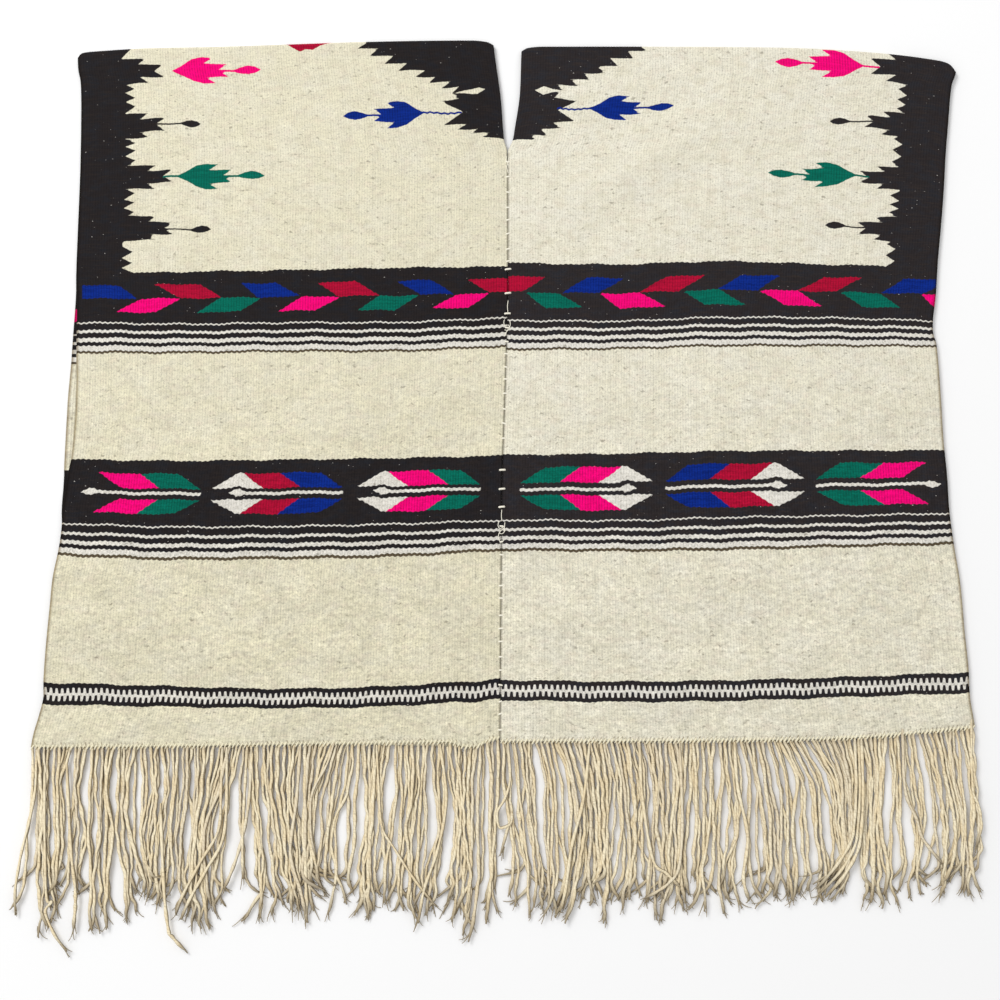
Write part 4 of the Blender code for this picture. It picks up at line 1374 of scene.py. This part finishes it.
# Waves of a strand, aside and up: (size, length, how much longer at most)
STRAND_WAVES, RISE_WAVE = ((1.3, 105, 0.8), (0.9, 34, 0.9), (0.35, 14, 0.6)), (0.5, 70, 0.7)
WAVE_LEAST = 0.3  # the smallest wave, as a share of its size
START_RATE, DROP_RATE = 12, 3  # waves are whole, and the drop is, past these parts of a strand
# Where along a strand its tip begins to stray, and how far that goes, swings, turns and lifts
TIP_FROM, TIP_ASIDE, TIP_SWING, TIP_TURN, TIP_UP = 0.82, 6.0, 2.0, 5, 5.0
ROOT_IN_HEM = 1.2
# How high strands start, how far they sink past the hem and how far some ride on others
STRAND_LEVEL, STRAND_RISE = {FRONT: 4.7, BACK: 1.95}, 0.35
STRAND_DROP, STRAND_RIDE = {FRONT: 1.6, BACK: 0.0}, {FRONT: 2.4, BACK: 0.4}
# A strand's thickness: the least and what chance adds, lumps and how close those come, the
# share of it at the root and how soon that grows, and the tip's length, least share and power
THICK_LEAST, THICK_CHANCE, STRAND_THICKEST = 0.78, 0.36, 1.35
LUMP, LUMP_RATE, LUMP_SHIFT = 0.16, 40, 7
ROOT_SHARE, ROOT_RATE = 0.6, 14
TAPER_LENGTH, TAPER_LEAST, TAPER_POWER = 0.06, 0.2, 0.6
STRAY_HEIGHT, STRAY_ARCH, STRAY_WAVE, STRAY_RATE = 6.2, 1.6, 0.4, 23
# The loose threads at a strand's tip: their form, then how they lie
FRAY_THREADS, FRAY_RINGS, FRAY_SIDES, FRAY_RADIUS, FRAY_THIN = 3, 7, 4, 0.62, (1.5, 0.9)
FRAY_LENGTH, FRAY_SWING, FRAY_CURL, FRAY_BEND, FRAY_UP = 13, 0.15, 3.6, 2.5, 0.5
FRAY_SHAKE, FRAY_DROP, FRAY_CLEAR = 0.8, 1.5, 0.1
FRAY_FROM, FRAY_TIP = 9, 0.97  # where they start for the yarn's shader: along it and to its tip
FRINGE_SEED, SEAM_SEED, HEM_SEED = 40, 7, 11


def strand_paths(side, layer, random):
    """The middle line of every strand of one hem, in millimetres: strands x rings x 3."""
    count = STRANDS[layer]
    inner, outer = hem_ends(side, layer)
    shift = random.normal(0, ROOT_JITTER, count)
    share = (np.arange(count) + 0.5 + shift) / count
    root = inner + (outer - inner) * share
    hem = hem_line(side, layer, share) + side_curve(HEM_DIP, side, share)

    guides = np.array(GUIDES[side], float)
    guides[:, 1:5] += guides[:, :1]
    place = np.interp(root, guides[:, 0], np.arange(len(guides)))
    low = np.clip(place.astype(int), 0, len(guides) - 2)
    part = np.clip((place - low - 0.5) * BUNCHING + 0.5, 0, 1)[:, None]
    shape = guides[low] * (1 - part) + guides[low + 1] * part
    stops = shape[:, :-1] + (root - shape[:, 0])[:, None] * np.array(KEPT)
    stops = stops + random.normal(0, 1, stops.shape) * np.array(SPREAD[layer])
    short = SHORTER * random.random(count) ** SHORTER_POWER + BACK_SHORTER[layer]
    lengths = np.maximum(shape[:, -1] - short + random.normal(0, TIP_JITTER, count), SHORTEST)
    along = np.linspace(0, 1, STRAND_RINGS) ** RING_SPACING
    path = np.array([
        on_curve((0, *GUIDE_DEPTHS, length), stop, along * length) for stop, length in zip(stops, lengths)
    ])
    lengths, along = lengths[:, None], along[None, :]

    def each(size):
        return random.normal(0, size, (count, 1))

    def wave(size, length, spread):
        phase = random.random((count, 1)) * 2 * np.pi
        own = length * (1 + spread * random.random((count, 1)))
        height = size * (WAVE_LEAST + random.random((count, 1)))
        return height * np.sin(2 * np.pi * along * lengths / own + phase)

    start = np.minimum(along * START_RATE, 1)
    path = path + start * sum(wave(*form) for form in STRAND_WAVES)
    end = np.clip((along - TIP_FROM) / (1 - TIP_FROM), 0, 1)
    path = path + each(TIP_ASIDE) * end**2 + each(TIP_SWING) * np.sin(end * TIP_TURN)
    down = hem[:, None] - ROOT_IN_HEM + lengths * along - np.abs(each(TIP_UP)) * end**2
    drop = STRAND_DROP[layer] * np.minimum(along * DROP_RATE, 1)
    height = STRAND_LEVEL[layer] - drop + start * (STRAND_RISE + wave(*RISE_WAVE))
    ride = random.random((count, 1)) * STRAND_RIDE[layer]
    height = np.maximum(height + ride * start, STRAND_THICKEST * STRAND_HALF_HIGH)
    return stacked(path, down, height), lengths


def stray_paths(side):
    """The middle lines of the strands that stray over the front fringe of one panel."""
    rings = np.linspace(0, 1, STRAND_RINGS)
    height = STRAY_HEIGHT + STRAY_ARCH * np.sin(np.pi * rings) + STRAY_WAVE * np.sin(rings * STRAY_RATE)
    paths, lengths = [], []
    for stray in STRAYS:
        if stray[0][0] * OUTWARD[side] > 0:
            across, down = path_curve(stray, STRAND_RINGS)
            hem = float(hem_line(side, FRONT, min(abs(stray[0][0]) / PANEL_WIDTH, 1.0)))
            paths.append(stacked(across, hem + down, height))
            lengths.append([float(np.sum(np.hypot(np.diff(across), np.diff(down))))])
    return np.array(paths), np.array(lengths)


def fray_paths(paths, random):
    """The middle lines of the loose threads that leave each strand's cut end."""
    count = len(paths) * FRAY_THREADS
    ends = np.repeat(paths[:, -5], FRAY_THREADS, axis=0)
    heading = np.repeat(paths[:, -1] - paths[:, -6], FRAY_THREADS, axis=0)
    heading /= np.linalg.norm(heading, axis=-1, keepdims=True)
    length = FRAY_LENGTH + FRAY_LENGTH * random.random((count, 1)) ** 2
    swing = random.normal(0, FRAY_SWING, (count, 1))
    step = np.linspace(0, 1, FRAY_RINGS)[None, :]
    curl = random.normal(0, FRAY_CURL, (count, 1)) * step**FRAY_BEND
    fray = ends[:, None, :] + heading[:, None, :] * (length * step)[..., None]
    fray[..., 0] += swing * length * step + curl + random.normal(0, FRAY_SHAKE, (count, 1))
    fray[..., 1] -= np.abs(curl) * FRAY_UP * step
    fray[..., 2] = np.maximum(fray[..., 2] - FRAY_DROP * step, FRAY_RADIUS + FRAY_CLEAR)
    thin = np.broadcast_to(FRAY_THIN[0] - FRAY_THIN[1] * step, fray.shape[:2])
    return fray, length * step, FRAY_RADIUS * thin


def make_fringe(side, layer, material):
    """The twisted warp ends of one hem, with frayed tips, as one mesh."""
    random = np.random.default_rng(FRINGE_SEED + 2 * SIDES.index(side) + LAYERS.index(layer))
    paths, lengths = strand_paths(side, layer, random)
    if layer == FRONT:
        strays, stray_lengths = stray_paths(side)
        paths, lengths = np.concatenate((paths, strays)), np.concatenate((lengths, stray_lengths))
    total = len(paths)
    share = np.linspace(0, 1, STRAND_RINGS)[None, :]
    taper = np.clip((1.0 - share) / TAPER_LENGTH, TAPER_LEAST, 1) ** TAPER_POWER
    uneven = 1 + LUMP * np.sin(share * LUMP_RATE + random.random((total, 1)) * LUMP_SHIFT)
    thick = (THICK_LEAST + THICK_CHANCE * random.random((total, 1))) * taper * uneven
    root = np.clip(ROOT_SHARE + share * ROOT_RATE, 0, 1)
    wide, high = STRAND_HALF_WIDE * thick * root, STRAND_HALF_HIGH * thick * root
    strands = tube_points(paths, wide, high, STRAND_SIDES)
    fray, fray_run, thin = fray_paths(paths, random)
    frays = tube_points(fray, thin, thin, FRAY_SIDES)
    name = f"{side}_{layer}_fringe"
    piece = tube_piece(f"{name}_yarn", [strands, frays], material, name)

    tone = random.random(total)
    columns = []
    for group, run, own, tip in (
        (strands, share * lengths, tone, share[:, :, None]),
        (frays, fray_run + FRAY_FROM, np.repeat(tone, FRAY_THREADS), FRAY_TIP),
    ):
        angle = around(group.shape[2])
        ply = (np.cos(2 * angle), np.sin(2 * angle), np.cos(angle))
        strand = (run[:, :, None], own[:, None, None], tip)
        columns.append([np.broadcast_to(values, group.shape[:3]).ravel() for values in ply + strand])
    columns = [np.concatenate(column) for column in zip(*columns)]
    add_vectors(piece, "ply", *columns[:3])
    add_vectors(piece, "strand", *columns[3:])
    return piece


# ================================================================ sewing and hem

STITCH_RINGS, LOOSE_RINGS, LOOP_RINGS = 9, 13, 7
STITCH_FORM, BAR_FORM, LOOSE_FORM = (1.25, 6), (1.4, 8), (0.55, 6)  # radius and sides of a thread
STITCH_SINK, STITCH_DIP = 0.3, 1.1  # how far stitches lie in the wool, and how far their ends dip
STITCH_LIFT, BAR_LIFT, LOOSE_LIFT, STITCH_FLAT = 0.35, 1.3, 0.35, 0.75
FIRST_STITCH, LAST_STITCH = SLIT_END + 16, 1000
# Stitches by hand: the least share of their size and of their pitch and what chance adds, then
# how far they slant
STITCH_SIZES, STITCH_GAPS, STITCH_SLANT, BAR_SLANT = (0.8, 0.5), (0.8, 0.4), 0.7, 0.4
# The hem's loops: how far each slants and reaches either way and lies in the wool, where it is
# measured, how it arches and dips, and the least share of its size and thickness and the rest
LOOP_SLANT, LOOP_REACH, LOOP_SINK, LOOP_IN = 2.2, 3.4, 0.2, 3
LOOP_ARCH, LOOP_DIP = {FRONT: 0.75, BACK: 0.5}, {FRONT: 1.6, BACK: 0.9}
LOOP_SIZES, LOOP_THICK = (0.85, 0.3), (0.7, 0.3)


def cross_stitch(down, half, slant, lift):
    """The middle line of a stitch over the seam: it enters the cloth at both ends."""
    points = []
    for share in np.linspace(-1, 1, STITCH_RINGS):
        side, place = LEFT if share < 0 else RIGHT, down + slant * share
        across = float(inner_edge(side, FRONT, place)) + OUTWARD[side] * abs(share) * half
        top = float(front_underside(np.array(across), place, 0.0)) + CLOTH_THICK
        rise = lift * (1 - abs(share) ** 3) - STITCH_DIP * abs(share) ** 6
        points.append((across, place, top - STITCH_SINK + rise))
    return points


def make_seam(material):
    """Hand stitches that join the two panels, with the heavy bars and the thread's loops."""
    random = np.random.default_rng(SEAM_SEED)
    small, loose = [], []
    down = FIRST_STITCH
    while down < LAST_STITCH:
        if not any(top < down < bottom for top, bottom in SEAM_BARE):
            half = STITCH_HALF * (STITCH_SIZES[0] + STITCH_SIZES[1] * random.random())
            small.append(cross_stitch(down, half, random.normal(0, STITCH_SLANT), STITCH_LIFT))
        down += STITCH_PITCH * (STITCH_GAPS[0] + STITCH_GAPS[1] * random.random())
    bars = []
    for place in BAR_STITCHES:
        slant = random.normal(0, BAR_SLANT) - BAR_SLANT
        bars.append(cross_stitch(place, BAR_HALF, slant, BAR_LIFT))
    for points in SEAM_LOOPS:
        aside, at = path_curve(points, LOOSE_RINGS)
        middle = (inner_edge(LEFT, FRONT, at) + inner_edge(RIGHT, FRONT, at)) / 2
        top = front_underside(middle + aside, at, 0.0) + CLOTH_THICK
        loose.append(stacked(middle + aside, at, top + LOOSE_LIFT))
    groups = []
    for paths, (radius, sides) in ((small, STITCH_FORM), (bars, BAR_FORM), (loose, LOOSE_FORM)):
        centres = np.array(paths, float)
        size = np.full(centres.shape[:2], radius)
        groups.append(tube_points(centres, size, STITCH_FLAT * size, sides))
    return tube_piece("seam_stitches", groups, material)


def make_hem(side, layer, material):
    """The slanting twined loops that lock the last weft, along one hem."""
    random = np.random.default_rng(HEM_SEED + SIDES.index(side))
    inner, outer = hem_ends(side, layer)
    count = round(abs(outer - inner) / HEM_PITCH)
    share = (np.arange(count)[:, None] + 0.5) / count + np.zeros((1, LOOP_RINGS))
    step = np.linspace(0, 1, LOOP_RINGS)[None, :] + np.zeros((count, 1))
    hem = hem_line(side, layer, share) + side_curve(HEM_DIP, side, share)
    size = LOOP_SIZES[0] + LOOP_SIZES[1] * random.random((count, 1))
    across = inner + (outer - inner) * share + (LOOP_SLANT - 2 * LOOP_SLANT * step) * size
    down = hem - LOOP_REACH + 2 * LOOP_REACH * step * size
    top = CLOTH_THICK
    if layer == FRONT:
        top = front_underside(across, hem - LOOP_IN, 0.0) + CLOTH_THICK
    height = top - LOOP_SINK + LOOP_ARCH[layer] * np.sin(np.pi * step) - LOOP_DIP[layer] * step**2
    radius = LOOP_RADIUS * size * (LOOP_THICK[0] + LOOP_THICK[1] * np.sin(np.pi * step))
    loops = tube_points(stacked(across, down, height), radius, radius, LOOP_SIDES)
    return tube_piece(f"{side}_{layer}_hem", [loops], material)


# ================================================================ the model

wools = {FRONT: make_wool("wool_cloth_front", 0.0), BACK: make_wool("wool_cloth_back", 0.8)}
warp_yarn = make_yarn()
thread = make_plain("sewing_thread", srgb(246, 241, 224))
hem_yarn = make_plain("hem_yarn", srgb(240, 232, 204))

cloths, trims = {}, {}
for side in SIDES:
    for layer in LAYERS:
        cloths[side, layer] = make_cloth(side, layer, wools[layer])
    for layer in LAYERS:
        trims[side, layer] = [make_fringe(side, layer, warp_yarn), make_hem(side, layer, hem_yarn)]
trims[LEFT, FRONT].append(make_seam(thread))

# ================================================================ the setting


def make_floor():
    mesh = bpy.data.meshes.new("floor")
    corners = [(-FLOOR_HALF, -FLOOR_HALF, 0), (FLOOR_HALF, -FLOOR_HALF, 0)]
    corners += [(FLOOR_HALF, FLOOR_HALF, 0), (-FLOOR_HALF, FLOOR_HALF, 0)]
    mesh.from_pydata(corners, [], [(0, 1, 2, 3)])
    paper = Shader("floor").finish(srgb(251, 251, 251), 0.9, 0.0, srgb(255, 255, 255))
    mesh.materials.append(paper)
    floor = add_object("floor", mesh)


def aimed(thing, place, aim):
    """Set a light or the camera at a place and turn it to look at another."""
    thing.location = place
    thing.rotation_euler = (aim - place).to_track_quat("-Z", "Y").to_euler()


def make_window():
    light = bpy.data.lights.new("window", "AREA")
    light.shape = "RECTANGLE"
    light.size = light.size_y = WINDOW_SIZE
    light.energy = WINDOW_POWER
    aimed(add_object("window", light), Vector(WINDOW_PLACE), Vector((0, 0, 0)))


def make_room():
    world = bpy.data.worlds.new("studio")
    world.use_nodes = True
    light = world.node_tree.nodes["Background"].inputs
    light["Color"].default_value = srgb(255, 255, 255)
    light["Strength"].default_value = ROOM_LIGHT
    bpy.context.scene.world = world


def make_camera():
    aim = Vector(placed(AIM_ACROSS, AIM_DOWN, AIM_HEIGHT).tolist())
    rise, back = math.sin(CAMERA_ELEVATION), math.cos(CAMERA_ELEVATION)
    data = bpy.data.cameras.new("camera")
    data.lens = CAMERA_LENS
    data.sensor_width = 36.0
    data.dof.use_dof = False
    camera = add_object("camera", data)
    aimed(camera, aim + CAMERA_DISTANCE * Vector((0, -back, rise)), aim)
    bpy.context.scene.camera = camera


make_floor()
make_window()
make_room()
bpy.context.scene.view_settings.view_transform = "Standard"
make_camera()
